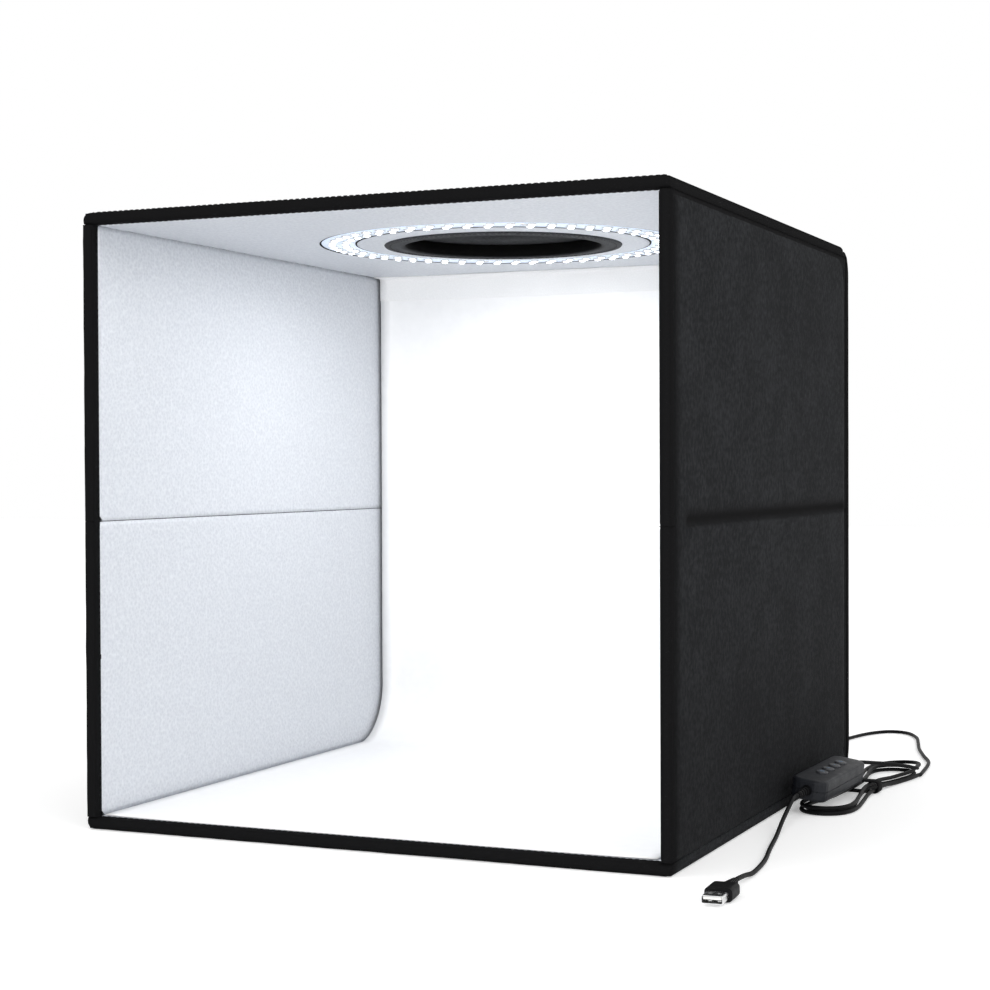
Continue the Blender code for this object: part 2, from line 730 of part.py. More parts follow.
cap_underside = half_dimmer - dimmer_wall - seat_gap
cap_top = half_dimmer + button_proud
cap_round = button_proud / 2
button_profile = [
    (button_stem_radius, switch_top_z + button_travel + seat_gap),
    (button_stem_radius, cap_underside - button_flange_thickness),
    (button_radius + button_flange, cap_underside - button_flange_thickness),
    (button_radius + button_flange, cap_underside),
    (button_radius, cap_underside),
    (button_radius, cap_top - cap_round),
    (button_radius - cap_round, cap_top),
]
hole_solids = []
for name, place_y in zip(button_names, button_places):
    axis = add_empty("button_" + name + "_axis", (0, place_y, 0), (0, 0, 0), dimmer_axis)
    loops = [circle(radius, height, round_steps) for radius, height in button_profile]
    button_mesh = loft_mesh("button_" + name, [(loops, False)], True)
    add_object("button_" + name, button_mesh, "button_plastic", axis)
    hole_low = cap_underside - button_flange_thickness
    hole_radius = button_radius + seat_gap
    hole_solids.append(disc(hole_radius, hole_low, cap_top + overrun, round_steps, (0, place_y)))
cut(upper_shell, add_guide("button_hole_cutter", hole_solids, dimmer_axis))

# Plug: a ribbed sleeve and body in one moulding, a folded steel shell and a tongue
plug_axis = add_empty("plug_frame", plug_position, turn_about(0, 0, plug_turn_deg), base_axis)
section_steps = 4 * (corner_steps + 1)


def plug_outline(width, height, corner, y, inset=0.0):
    low = (-width / 2, -height / 2)
    high = (width / 2, height / 2)
    return along_y(rounded_outline(low, high, [corner] * 4, inset), y)


def sleeve_ring(points):
    # A round loop whose points start where a rounded outline's do
    half = len(points) // 2
    return points[half:] + points[:half]


body_start = plug_relief_length
body_end = body_start + plug_body_length
plug_loops = [
    sleeve_ring(loop)
    for loop in ribbed_loops(body_start, 0.0, relief_root_radius, relief_tip_radius, section_steps)
]
plug_loops.reverse()
body_size = (plug_body_width, plug_body_height, plug_body_corner)
plug_loops.append(plug_outline(*body_size, body_start + plug_shoulder_length / 4, plug_body_corner))
plug_loops.append(plug_outline(*body_size, body_start + plug_shoulder_length))
plug_loops.append(plug_outline(*body_size, body_end - plug_body_corner / 2))
plug_loops.append(plug_outline(*body_size, body_end, plug_body_corner / 3))
add_object("plug_body", loft_mesh("plug_body", [(plug_loops, False)], True), "black_rubber", plug_axis)

shell_start = body_end + seat_gap
shell_end = shell_start + plug_shell_length
shell_size = (plug_shell_width, plug_shell_height, plug_shell_corner)
shell_sections = [
    plug_outline(*shell_size, shell_start),
    plug_outline(*shell_size, shell_end),
    plug_outline(*shell_size, shell_end, plug_shell_wall),
    plug_outline(*shell_size, shell_start, plug_shell_wall),
]
plug_shell = add_object("plug_shell", loft_mesh("plug_shell", [(shell_sections, True)]), "plated_steel", plug_axis)
window_solids = []
for side in (-1, 1):
    middle = (side * plug_window_spread, shell_end - plug_window_from_tip)
    low = [value - plug_window_size / 2 for value in middle]
    high = [value + plug_window_size / 2 for value in middle]
    window_solids.append(slab(low, high, [plug_shell_wall] * 4, 0.0, -plug_body_height, plug_body_height))
cut(plug_shell, add_guide("plug_window_cutter", window_solids, plug_axis))
tongue_top = plug_shell_height / 2 - plug_shell_wall - seat_gap
tongue_loops = [
    [(x, y, z) for x, z in (
        (-plug_tongue_width / 2, tongue_top - plug_tongue_thickness),
        (plug_tongue_width / 2, tongue_top - plug_tongue_thickness),
        (plug_tongue_width / 2, tongue_top),
        (-plug_tongue_width / 2, tongue_top),
    )]
    for y in (shell_start, shell_end - plug_tongue_recess)
]
add_object("plug_tongue", loft_mesh("plug_tongue", [(tongue_loops, False)]), "white_plastic", plug_axis)

# Lead: the run behind the tent, the hank, the link to the dimmer and the run to the plug
def smooth_line(route, spacing):
    # Evenly spaced points on a Catmull-Rom curve through the route's points
    points = [Vector(point) for point in route]
    ends = [2 * points[0] - points[1]] + points + [2 * points[-1] - points[-2]]
    dense = []
    for a, b, c, d in zip(ends, ends[1:], ends[2:], ends[3:]):
        for step in range(curve_steps):
            t = step / curve_steps
            dense.append(0.5 * (2 * b + (c - a) * t + (2 * a - 5 * b + 4 * c - d) * t ** 2
                                + (3 * b - a - 3 * c + d) * t ** 3))
    dense.append(points[-1])
    lengths = np.cumsum([0.0] + [(q - p).length for p, q in zip(dense, dense[1:])])
    count = max(2, round(lengths[-1] / spacing))
    table = np.array([tuple(point) for point in dense])
    stops = np.linspace(0.0, lengths[-1], count + 1)
    return [Vector(row) for row in zip(*(np.interp(stops, lengths, table[:, k]) for k in range(3)))]


def line_length(points):
    return sum((q - p).length for p, q in zip(points, points[1:]))


def least_gap_to_itself(points):
    # Points nearer than four diameters along the lead aren't measured against each other
    stops = np.cumsum([0.0] + [(q - p).length for p, q in zip(points, points[1:])])
    tree = KDTree(len(points))
    for i, point in enumerate(points):
        tree.insert(point, i)
    tree.balance()
    nearest = hank_half_length
    for i, point in enumerate(points):
        for _, j, distance in tree.find_range(point, 4 * lead_diameter):
            if abs(stops[i] - stops[j]) > 4 * lead_diameter:
                nearest = min(nearest, distance)
    return nearest - lead_diameter


def ease(share):
    share = min(1.0, max(0.0, share))
    return share * share * (3 - 2 * share)


hank_floor_z = lead_radius + hank_floor_gap
tie_lift = tie_thickness + seat_gap
hank_frame = Matrix.Translation((hank_x, hank_y, 0)) @ Matrix.Rotation(math.radians(hank_turn_deg), 4, "Z")


def hank_point(turn):
    # Offset inwards rises to the middle of the hank and falls again on the upper layer
    angle = math.radians(hank_start_deg) + 2 * math.pi * turn
    middle_turn = hank_turns / 2
    inset = hank_pitch * (middle_turn - abs(turn - middle_turn))
    along = (hank_half_length - inset) * math.cos(angle)
    across = (hank_waist + hank_lobe * math.cos(angle) ** 2 - inset) * math.sin(angle)
    layer = ease((turn - middle_turn) / (2 * hank_climb_turns) + 0.5)
    layer += ease((turn - hank_turns) / hank_climb_turns + 1.0)
    lift = tie_lift * ease(1.5 - abs(along) / tie_ramp)
    return hank_frame @ Vector((across, along, hank_floor_z + hank_layer_step * layer + lift))


def lead_tube(name, points, sides_resolution):
    curve = bpy.data.curves.new(name, "CURVE")
    curve.dimensions = "3D"
    curve.bevel_depth = lead_radius
    curve.bevel_resolution = sides_resolution
    curve.use_fill_caps = True
    spline = curve.splines.new("POLY")
    spline.points.add(len(points) - 1)
    for spot, point in zip(spline.points, points):
        spot.co = (*point, 1.0)
    curve.materials.append(materials["black_rubber"])
    tube = bpy.data.objects.new(name, curve)
    bpy.context.scene.collection.objects.link(tube)
    tube.parent = base_axis
    return tube


hank_count = round(hank_turns * hank_points_a_turn)
hank_loops = [hank_point(i * hank_turns / hank_count) for i in range(hank_count + 1)]
hank_first_way = (hank_loops[0] - hank_loops[1]).normalized()
hank_last_way = (hank_loops[-1] - hank_loops[-2]).normalized()
hank_start = hank_loops[0] + hank_first_way * lead_diameter
hank_end = hank_loops[-1] + hank_last_way * lead_diameter
hank_line = [hank_start] + hank_loops + [hank_end]
lead_tube("lead_hank", hank_line, 1)
fine_count = 10 * hank_count
fine_hank = [hank_point(i * hank_turns / fine_count) for i in range(fine_count + 1)]
print("hank: length %.4f m, least gap to itself %.5f m" % (line_length(hank_line), least_gap_to_itself(fine_hank)))


def place_on(axis_place, axis_turn_deg, point):
    frame = Matrix.Translation(axis_place)
    for angle, way in zip(reversed(axis_turn_deg), ("Z", "Y", "X")):
        frame = frame @ Matrix.Rotation(math.radians(angle), 4, way)
    return frame @ Vector(point)


dimmer_turn_deg = (dimmer_pitch_deg, dimmer_roll_deg, dimmer_yaw_deg)
sleeve_reach = dimmer_length / 2 + relief_length + seat_gap
straight = 2 * lead_diameter


def beside_dimmer(distance):
    return place_on(dimmer_middle, dimmer_turn_deg, (0, distance, 0))


def behind_plug(distance):
    return place_on(plug_position, (0, 0, plug_turn_deg), (0, -distance, 0))


outlet_start = Vector((outlet_x, outlet_tip_y + seat_gap, outlet_z))
rear_route = [outlet_start, outlet_start + Vector((0, straight, 0)), *rear_lead_route]
rear_route += [hank_start + hank_first_way * distance for distance in (straight, seat_gap)]
rear_line = smooth_line(rear_route, lead_point_spacing)
link_route = [hank_end + hank_last_way * distance for distance in (seat_gap, straight)]
link_route += [*link_lead_route, beside_dimmer(sleeve_reach + straight), beside_dimmer(sleeve_reach)]
link_line = smooth_line(link_route, lead_point_spacing)
front_route = [beside_dimmer(-sleeve_reach), beside_dimmer(-sleeve_reach - straight), *front_lead_route]
front_route += [behind_plug(straight), behind_plug(seat_gap)]
front_line = smooth_line(front_route, lead_point_spacing)
for name, line in (("lead_rear_run", rear_line), ("lead_link_run", link_line), ("lead_front_run", front_line)):
    lead_tube(name, line, 2)
    print("%s: length %.4f m, %d points" % (name, line_length(line), len(line)))

# Tie round the waist of the hank
tie_inside_x = hank_waist + lead_radius + seat_gap
tie_low_z = hank_floor_gap
tie_high_z = hank_floor_z + tie_lift + hank_layer_step + lead_radius + seat_gap
tie_outer = rounded_outline(
    (-tie_inside_x - tie_thickness, tie_low_z),
    (tie_inside_x + tie_thickness, tie_high_z + tie_thickness),
    [tie_corner_radius] * 4,
)
tie_inner = rounded_outline(
    (-tie_inside_x - tie_thickness, tie_low_z),
    (tie_inside_x + tie_thickness, tie_high_z + tie_thickness),
    [tie_corner_radius] * 4,
    tie_thickness,
)
tie_loops = [along_y(tie_outer, -tie_width / 2), along_y(tie_outer, tie_width / 2),
             along_y(tie_inner, tie_width / 2), along_y(tie_inner, -tie_width / 2)]
tie_turn = turn_about(0, 0, hank_turn_deg)
tie_mesh = loft_mesh("hank_tie", [(tie_loops, True)])
add_object("hank_tie", tie_mesh, "black_tape", base_axis, (hank_x, hank_y, 0), tie_turn)
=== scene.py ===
# Light tent cube: soft covered boards, ring light, backdrop sheet and lead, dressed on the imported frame

import math

import bmesh
import bpy
import numpy as np
from mathutils import Matrix, Vector, noise


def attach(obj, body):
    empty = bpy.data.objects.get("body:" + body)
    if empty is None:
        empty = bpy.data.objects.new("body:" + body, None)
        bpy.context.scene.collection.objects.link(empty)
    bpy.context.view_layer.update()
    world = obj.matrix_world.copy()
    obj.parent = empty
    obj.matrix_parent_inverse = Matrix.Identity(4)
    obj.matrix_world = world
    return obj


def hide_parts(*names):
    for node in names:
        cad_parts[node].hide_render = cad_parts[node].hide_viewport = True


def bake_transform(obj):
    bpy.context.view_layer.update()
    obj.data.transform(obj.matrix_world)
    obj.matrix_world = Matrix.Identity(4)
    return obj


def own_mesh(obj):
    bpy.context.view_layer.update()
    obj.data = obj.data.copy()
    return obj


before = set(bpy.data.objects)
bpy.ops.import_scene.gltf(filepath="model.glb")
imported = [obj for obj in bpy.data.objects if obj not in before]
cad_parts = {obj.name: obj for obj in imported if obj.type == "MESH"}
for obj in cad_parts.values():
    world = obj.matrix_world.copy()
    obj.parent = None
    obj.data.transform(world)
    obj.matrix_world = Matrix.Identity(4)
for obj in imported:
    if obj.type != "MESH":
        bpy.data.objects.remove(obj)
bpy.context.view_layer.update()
scene = bpy.context.scene
scene.view_settings.view_transform = "Standard"
print("frame loaded")

# Camera at the photograph's angle, lens fitted to the tent's corners

cameraLook = {
    "place": (0.555, -1.277, 0.235),
    "turnLeft": 23.60,
    "tiltDown": 0.85,
    "roll": -0.24,
    "lens": 71.53,
}


def addCamera(look):
    turn, tilt, roll = (math.radians(look[k]) for k in ("turnLeft", "tiltDown", "roll"))
    ahead = Vector((-math.sin(turn) * math.cos(tilt), math.cos(turn) * math.cos(tilt), -math.sin(tilt)))
    level = Vector((math.cos(turn), math.sin(turn), 0))
    upright = level.cross(ahead)
    right = level * math.cos(roll) + upright * math.sin(roll)
    up = upright * math.cos(roll) - level * math.sin(roll)
    data = bpy.data.cameras.new("photoCamera")
    data.lens = look["lens"]
    data.sensor_width = 36
    data.clip_start = 0.01
    camera = bpy.data.objects.new("photoCamera", data)
    scene.collection.objects.link(camera)
    camera.matrix_world = Matrix.Translation(look["place"]) @ Matrix((right, up, -ahead)).transposed().to_4x4()
    scene.camera = camera
    return camera


addCamera(cameraLook)
print("camera placed")

# Mesh makers


def addPiece(name, points, faces, corners=None, smooth=True, closed=True):
    # corners holds a flat UV, in metres, for each corner of each face
    mesh = bpy.data.meshes.new(name)
    mesh.from_pydata([tuple(p) for p in points], [], faces)
    if corners is not None:
        layer = mesh.uv_layers.new(name="flat")
        layer.data.foreach_set("uv", np.array(corners, dtype=np.float32).ravel())
    mesh.update()
    if closed:
        bm = bmesh.new()
        bm.from_mesh(mesh)
        bmesh.ops.recalc_face_normals(bm, faces=bm.faces)
        if bm.calc_volume(signed=True) < 0:
            bmesh.ops.reverse_faces(bm, faces=bm.faces)
        bm.to_mesh(mesh)
        bm.free()
    mesh.polygons.foreach_set("use_smooth", [smooth] * len(mesh.polygons))
    piece = bpy.data.objects.new(name, mesh)
    scene.collection.objects.link(piece)
    return piece


def gridFaces(rows, columns, closeRows=False, closeColumns=False, start=0):
    faces, spots = [], []
    for i in range(rows - 1 + closeRows):
        for j in range(columns - 1 + closeColumns):
            ring = ((i, j), (i + 1, j), (i + 1, j + 1), (i, j + 1))
            faces.append([start + (a % rows) * columns + (b % columns) for a, b in ring])
            spots.append(ring)
    return faces, spots


def sweptPiece(name, loops, closeLoops=True, closeSection=True, caps=False):
    # loops[k][i]: point i of loop k; the UV runs along the loop and across the section
    grid = np.array(loops, dtype=float)
    rows, columns = grid.shape[:2]
    faces, spots = gridFaces(rows, columns, closeSection, closeLoops)
    wrapped = np.concatenate([grid, grid[:1]], axis=0)
    wrapped = np.concatenate([wrapped, wrapped[:, :1]], axis=1)
    along = np.linalg.norm(np.diff(wrapped, axis=1), axis=2).mean(axis=0)
    across = np.linalg.norm(np.diff(wrapped, axis=0), axis=2).mean(axis=1)
    u = np.concatenate([[0.0], np.cumsum(along)])
    v = np.concatenate([[0.0], np.cumsum(across)])
    corners = [(u[j], v[i]) for ring in spots for i, j in ring]
    if caps:
        for row, order in ((0, 1), (rows - 1, -1)):
            ring = [row * columns + j for j in range(columns)][::order]
            faces.append(ring)
            corners += [(u[j % columns], v[row]) for j in ring]
    return addPiece(name, grid.reshape(-1, 3), faces, corners)


def cappedPiece(name, loops):
    return sweptPiece(name, loops, True, False, True)


def tubeLoops(points, radius, sides):
    # Rings square to a smooth line
    side = None
    rings = []
    for i, point in enumerate(points):
        way = (points[min(i + 1, len(points) - 1)] - points[max(i - 1, 0)]).normalized()
        if side is None:
            side = way.orthogonal().normalized()
        side = (side - way * side.dot(way)).normalized()
        other = way.cross(side)
        angles = [2 * math.pi * j / sides for j in range(sides)]
        rings.append([point + (side * math.cos(a) + other * math.sin(a)) * radius for a in angles])
    return rings


def circlePoints(centre, radius, count):
    angles = [2 * math.pi * i / count for i in range(count)]
    return [(centre[0] + radius * math.cos(a), centre[1] + radius * math.sin(a)) for a in angles]


def toPlainMesh(piece):
    bpy.context.view_layer.update()
    graph = bpy.context.evaluated_depsgraph_get()
    mesh = bpy.data.meshes.new_from_object(piece.evaluated_get(graph), depsgraph=graph)
    piece.modifiers.clear()
    piece.data = mesh
    return piece


def ease(share):
    share = min(1.0, max(0.0, share))
    return share * share * (3 - 2 * share)


def setMaterial(piece, material):
    piece.data.materials.clear()
    piece.data.materials.append(material)
    return piece


def dress(piece, finish, slot, body, *nodes):
    # nodes: the frame's nodes that the piece stands in for
    setMaterial(piece, finishes[finish])
    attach(piece, body)
    if nodes:
        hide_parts(*nodes)
    return piece

# Shader node groups


def newGroup(name, inputs, outputs, kind="ShaderNodeTree"):
    group = bpy.data.node_groups.new(name, kind)
    for label, socketType, value in inputs:
        socket = group.interface.new_socket(name=label, in_out="INPUT", socket_type=socketType)
        if value is not None:
            socket.default_value = value
    for label, socketType in outputs:
        group.interface.new_socket(name=label, in_out="OUTPUT", socket_type=socketType)
    return group, group.nodes.new("NodeGroupInput"), group.nodes.new("NodeGroupOutput")


def addNode(tree, kind, settings=None, values=None):
    node = tree.nodes.new(kind)
    for key, value in (settings or {}).items():
        setattr(node, key, value)
    for key, value in (values or {}).items():
        node.inputs[key].default_value = value
    return node


def wire(tree, *pairs):
    for source, sink in pairs:
        tree.links.new(source, sink)


def mathNode(tree, operation, a, b=None):
    node = addNode(tree, "ShaderNodeMath", {"operation": operation})
    for k, value in enumerate((a, b)):
        if isinstance(value, (int, float)):
            node.inputs[k].default_value = value
        elif value is not None:
            tree.links.new(value, node.inputs[k])
    return node.outputs[0]


def weightedSum(tree, *parts):
    total = None
    for socket, weight in parts:
        part = socket if weight == 1 else mathNode(tree, "MULTIPLY", socket, weight)
        total = part if total is None else mathNode(tree, "ADD", total, part)
    return total


def noiseNode(tree, vector, scale, detail=3.0, rough=0.5):
    node = addNode(tree, "ShaderNodeTexNoise", None, {"Detail": detail, "Roughness": rough})
    wire(tree, (vector, node.inputs["Vector"]))
    if isinstance(scale, (int, float)):
        node.inputs["Scale"].default_value = scale
    else:
        wire(tree, (scale, node.inputs["Scale"]))
    return node.outputs["Fac"]


def makeWeaveGroup():
    # Plain weave from a flat UV in metres, with a coarser grain over it
    group, source, sink = newGroup("clothWeave", [
        ("Flat", "NodeSocketVector", None), ("Place", "NodeSocketVector", None),
        ("Threads", "NodeSocketFloat", 1500.0), ("Grain", "NodeSocketFloat", 420.0),
    ], [("Height", "NodeSocketFloat"), ("Tone", "NodeSocketFloat")])
    parts = addNode(group, "ShaderNodeSeparateXYZ")
    wire(group, (source.outputs["Flat"], parts.inputs[0]))
    turns = mathNode(group, "MULTIPLY", source.outputs["Threads"], math.pi)
    warp, weft = (mathNode(group, "SINE", mathNode(group, "MULTIPLY", parts.outputs[k], turns)) for k in (0, 1))
    threads = mathNode(group, "MULTIPLY_ADD", mathNode(group, "MULTIPLY", warp, weft), 0.5)
    grain = noiseNode(group, source.outputs["Place"], source.outputs["Grain"], 4.0, 0.6)
    broad = noiseNode(group, source.outputs["Place"], 28.0, 2.0)
    wire(group, (weightedSum(group, (threads, 0.35), (grain, 1.3)), sink.inputs["Height"]),
         (weightedSum(group, (grain, 0.8), (broad, 0.25)), sink.inputs["Tone"]))
    return group


def makeCrinkleGroup():
    # Small dimples and creases of a coated reflecting cloth; the Tone output that follows the dimples is painted
    # glint, mixed with a random fine tone
    group, source, sink = newGroup("linerCrinkle", [
        ("Place", "NodeSocketVector", None), ("Dimples", "NodeSocketFloat", 300.0),
    ], [("Height", "NodeSocketFloat"), ("Tone", "NodeSocketFloat")])
    cells = addNode(group, "ShaderNodeTexVoronoi", {"feature": "SMOOTH_F1"}, {"Smoothness": 0.6})
    wire(group, (source.outputs["Place"], cells.inputs["Vector"]), (source.outputs["Dimples"], cells.inputs["Scale"]))
    dimples = cells.outputs["Distance"]
    fine = noiseNode(group, source.outputs["Place"], 900.0, 3.0, 0.6)
    broad = noiseNode(group, source.outputs["Place"], 60.0, 3.0, 0.55)
    wire(group, (weightedSum(group, (dimples, 1), (fine, 0.5), (broad, 0.8)), sink.inputs["Height"]),
         (weightedSum(group, (dimples, 0.5), (fine, 0.6)), sink.inputs["Tone"]))
    return group


def makeGrainGroup():
    # Fine spark texture and faint handling marks of moulded plastic and rubber
    group, source, sink = newGroup("mouldedGrain", [
        ("Place", "NodeSocketVector", None), ("Grain", "NodeSocketFloat", 3500.0),
    ], [("Height", "NodeSocketFloat"), ("Marks", "NodeSocketFloat")])
    spark = noiseNode(group, source.outputs["Place"], source.outputs["Grain"], 2.0)
    marks = noiseNode(group, source.outputs["Place"], 120.0, 4.0, 0.65)
    wire(group, (spark, sink.inputs["Height"]), (marks, sink.inputs["Marks"]))
    return group


weaveGroup = makeWeaveGroup()
crinkleGroup = makeCrinkleGroup()
grainGroup = makeGrainGroup()

# Materials


def startMaterial(name, values):
    material = bpy.data.materials.new(name)
    material.use_nodes = True
    tree = material.node_tree
    shader = tree.nodes["Principled BSDF"]
    for key, value in values.items():
        shader.inputs[key].default_value = value
    coordinates = tree.nodes.new("ShaderNodeTexCoord")
    return material, tree, shader, coordinates


def placeGroup(tree, group, values, links):
    node = addNode(tree, "ShaderNodeGroup", {"node_tree": group}, values)
    for key, socket in links.items():
        tree.links.new(socket, node.inputs[key])
    return node


def rampNode(tree, value, stops):
    ramp = tree.nodes.new("ShaderNodeValToRGB")
    while len(ramp.color_ramp.elements) < len(stops):
        ramp.color_ramp.elements.new(0.5)
    for element, (place, colour) in zip(ramp.color_ramp.elements, stops):
        element.position = place
        element.color = (*colour, 1.0)
    tree.links.new(value, ramp.inputs[0])
    return ramp.outputs[0]


def bumpNode(tree, relief, strength, distance, shader):
    bump = addNode(tree, "ShaderNodeBump", None, {"Strength": strength, "Distance": distance})
    wire(tree, (relief, bump.inputs["Height"]), (bump.outputs[0], shader.inputs["Normal"]))


def makeCloth(name, dark, light, roughness, threads, grain, depth, shine=0.1, bindingAndShadeTone=None):
    # A darker tone, where given, is mixed in by the piece's own edge attribute, which dulls the cloth too; it gives a
    # binding's own colour and also painted shade and painted shadow, as each piece's mask sets
    material, tree, shader, coordinates = startMaterial(name, {
        "Roughness": roughness, "Specular IOR Level": shine,
    })
    weave = placeGroup(tree, weaveGroup, {"Threads": threads, "Grain": grain},
                       {"Flat": coordinates.outputs["UV"], "Place": coordinates.outputs["Object"]})
    colour = rampNode(tree, weave.outputs["Tone"], [(0.45, dark), (0.70, light)])
    if bindingAndShadeTone is not None:
        edge = addNode(tree, "ShaderNodeAttribute", {"attribute_name": "edge"})
        blend = addNode(tree, "ShaderNodeMix", {"data_type": "RGBA"})
        blend.inputs[7].default_value = (*bindingAndShadeTone, 1.0)
        dull = addNode(tree, "ShaderNodeMapRange", None, {"To Min": shine, "To Max": 0.15 * shine})
        wire(tree, (edge.outputs["Fac"], blend.inputs[0]), (colour, blend.inputs[6]),
             (edge.outputs["Fac"], dull.inputs[0]), (dull.outputs[0], shader.inputs["Specular IOR Level"]))
        colour = blend.outputs[2]
    wire(tree, (colour, shader.inputs["Base Color"]))
    bumpNode(tree, weave.outputs["Height"], 0.55, depth, shader)
    return material


def makeLiner(name, dark, light, roughness, metallic, dimples, depth):
    material, tree, shader, coordinates = startMaterial(name, {"Roughness": roughness, "Metallic": metallic})
    crinkle = placeGroup(tree, crinkleGroup, {"Dimples": dimples}, {"Place": coordinates.outputs["Object"]})
    # The colour follows the crinkle's tone: painted glints on the dimples, with random tone
    colour = rampNode(tree, crinkle.outputs["Tone"], [(0.35, dark), (0.75, light)])
    wire(tree, (colour, shader.inputs["Base Color"]))
    bumpNode(tree, crinkle.outputs["Height"], 0.6, depth, shader)
    return material


def makeMoulded(name, dark, light, roughness, depth, values=None, grain=3500.0):
    # roughness: its low and high ends, spread by the handling marks
    material, tree, shader, coordinates = startMaterial(name, values or {})
    grainNode = placeGroup(tree, grainGroup, {"Grain": grain}, {"Place": coordinates.outputs["Object"]})
    marks = grainNode.outputs["Marks"]
    colour = rampNode(tree, marks, [(0.3, dark), (0.7, light)])
    rough = addNode(tree, "ShaderNodeMapRange", None, {
        "From Min": 0.3, "From Max": 0.7, "To Min": roughness[0], "To Max": roughness[1],
    })
    wire(tree, (colour, shader.inputs["Base Color"]), (marks, rough.inputs[0]),
         (rough.outputs[0], shader.inputs["Roughness"]))
    bumpNode(tree, grainNode.outputs["Height"], 0.3, depth, shader)
    return material


def makeLamp(name, colour, strength):
    material, tree, shader, coordinates = startMaterial(name, {
        "Base Color": (0.9, 0.92, 0.95, 1.0), "Roughness": 0.35, "Emission Strength": strength,
    })
    spread = noiseNode(tree, coordinates.outputs["Object"], 500.0)
    glow = rampNode(tree, spread, [(0.3, colour), (0.7, (1.0, 1.0, 1.0))])
    wire(tree, (glow, shader.inputs["Emission Color"]))
    return material


# Values of each finish; threads and grain are counted per metre, depth is the bump's height in metres
finishLooks = {
    # coverCloth's darker edge tone is binding colour and painted shade; collarCloth's is painted shadow at the
    # window's rim
    "coverCloth": (makeCloth, dict(
        dark=(0.0050, 0.0056, 0.0068), light=(0.0195, 0.0208, 0.0230), bindingAndShadeTone=(0.0078, 0.0078, 0.0082),
        roughness=0.85, threads=1500.0, grain=300.0, depth=0.0008, shine=0.08)),
    "edgeTape": (makeCloth, dict(
        dark=(0.0035, 0.0035, 0.004), light=(0.009, 0.009, 0.0095),
        roughness=0.82, threads=1100.0, grain=600.0, depth=0.0003, shine=0.08)),
    "stitchThread": (makeCloth, dict(
        dark=(0.010, 0.010, 0.011), light=(0.03, 0.03, 0.032),
        roughness=0.6, threads=3000.0, grain=1500.0, depth=0.0001)),
    "silverLiner": (makeLiner, dict(
        dark=(0.54, 0.56, 0.60), light=(0.65, 0.67, 0.70),
        roughness=0.5, metallic=0.2, dimples=420.0, depth=0.0004)),
    "whiteSheet": (makeMoulded, dict(
        dark=(0.90, 0.90, 0.90), light=(0.93, 0.93, 0.93), roughness=(0.5, 0.6), depth=0.00005)),
    "hemCloth": (makeCloth, dict(
        dark=(0.88, 0.88, 0.88), light=(0.93, 0.93, 0.93),
        roughness=0.8, threads=1200.0, grain=900.0, depth=0.0001)),
    "collarCloth": (makeCloth, dict(
        dark=(0.024, 0.025, 0.027), light=(0.052, 0.054, 0.058), bindingAndShadeTone=(0.004, 0.004, 0.004),
        roughness=0.7, threads=1200.0, grain=700.0, depth=0.0002, shine=0.15)),
    # The ring's board glows faintly bluish: painted glow, standing in for the lamps' light spreading over it
    "ringBoard": (makeMoulded, dict(
        dark=(0.68, 0.76, 0.88), light=(0.74, 0.81, 0.92), roughness=(0.35, 0.5), depth=0.00003,
        values={"Emission Color": (0.72, 0.84, 1.0, 1.0), "Emission Strength": 0.22})),
    "flapLining": (makeCloth, dict(
        dark=(0.014, 0.015, 0.016), light=(0.042, 0.043, 0.046),
        roughness=0.8, threads=1500.0, grain=420.0, depth=0.0004, shine=0.1)),
    "fibreBoard": (makeMoulded, dict(
        dark=(0.30, 0.24, 0.17), light=(0.48, 0.40, 0.30), roughness=(0.8, 0.95), depth=0.0003, grain=900.0)),
    "dimmerShell": (makeMoulded, dict(
        dark=(0.0085, 0.0095, 0.0125), light=(0.0125, 0.0140, 0.0175), roughness=(0.42, 0.55), depth=0.00006,
        values={"Specular IOR Level": 0.20})),
    "softMoulding": (makeMoulded, dict(
        dark=(0.0030, 0.0030, 0.0034), light=(0.0052, 0.0052, 0.0058), roughness=(0.45, 0.6), depth=0.00005,
        values={"Specular IOR Level": 0.08})),
    "circuitGreen": (makeMoulded, dict(
        dark=(0.02, 0.10, 0.05), light=(0.03, 0.15, 0.07), roughness=(0.35, 0.5), depth=0.00005)),
    "buttonPlastic": (makeMoulded, dict(
        dark=(0.038, 0.040, 0.045), light=(0.05, 0.052, 0.058), roughness=(0.4, 0.5), depth=0.00004)),
    "whitePlastic": (makeMoulded, dict(
        dark=(0.75, 0.75, 0.73), light=(0.82, 0.82, 0.80), roughness=(0.35, 0.45), depth=0.00003)),
    "platedShell": (makeMoulded, dict(
        dark=(0.66, 0.66, 0.67), light=(0.73, 0.73, 0.73), roughness=(0.18, 0.32), depth=0.00002,
        values={"Metallic": 1.0})),
    "lampFace": (makeLamp, dict(colour=(0.80, 0.90, 1.0), strength=6.0)),
    "iconPrint": (makeMoulded, dict(
        dark=(0.10, 0.16, 0.24), light=(0.14, 0.21, 0.30), roughness=(0.5, 0.6), depth=0.00002)),
}
finishes = {name: make(name, **look) for name, (make, look) in finishLooks.items()}
print("materials made")

# Boards: each one has its outline in its own flat frame, outer face at height 0, inner face at the thickness

tent = {
    "halfWidth": 0.200,
    "frontY": -0.215,
    "rearY": 0.2055,
    "backY": 0.2139,
    "height": 0.400,
    "thickness": 0.008,
    "wallLow": 0.0080,
    "creaseHeight": 0.200,
    "creaseGap": 0.00004,
    "frontCorner": 0.0026,
    "backFoot": 0.006,
    "rearCorner": 0.003,
    "squareCorner": 0.0006,
    "panelCorner": 0.023,
    "rearBend": 0.022,
}

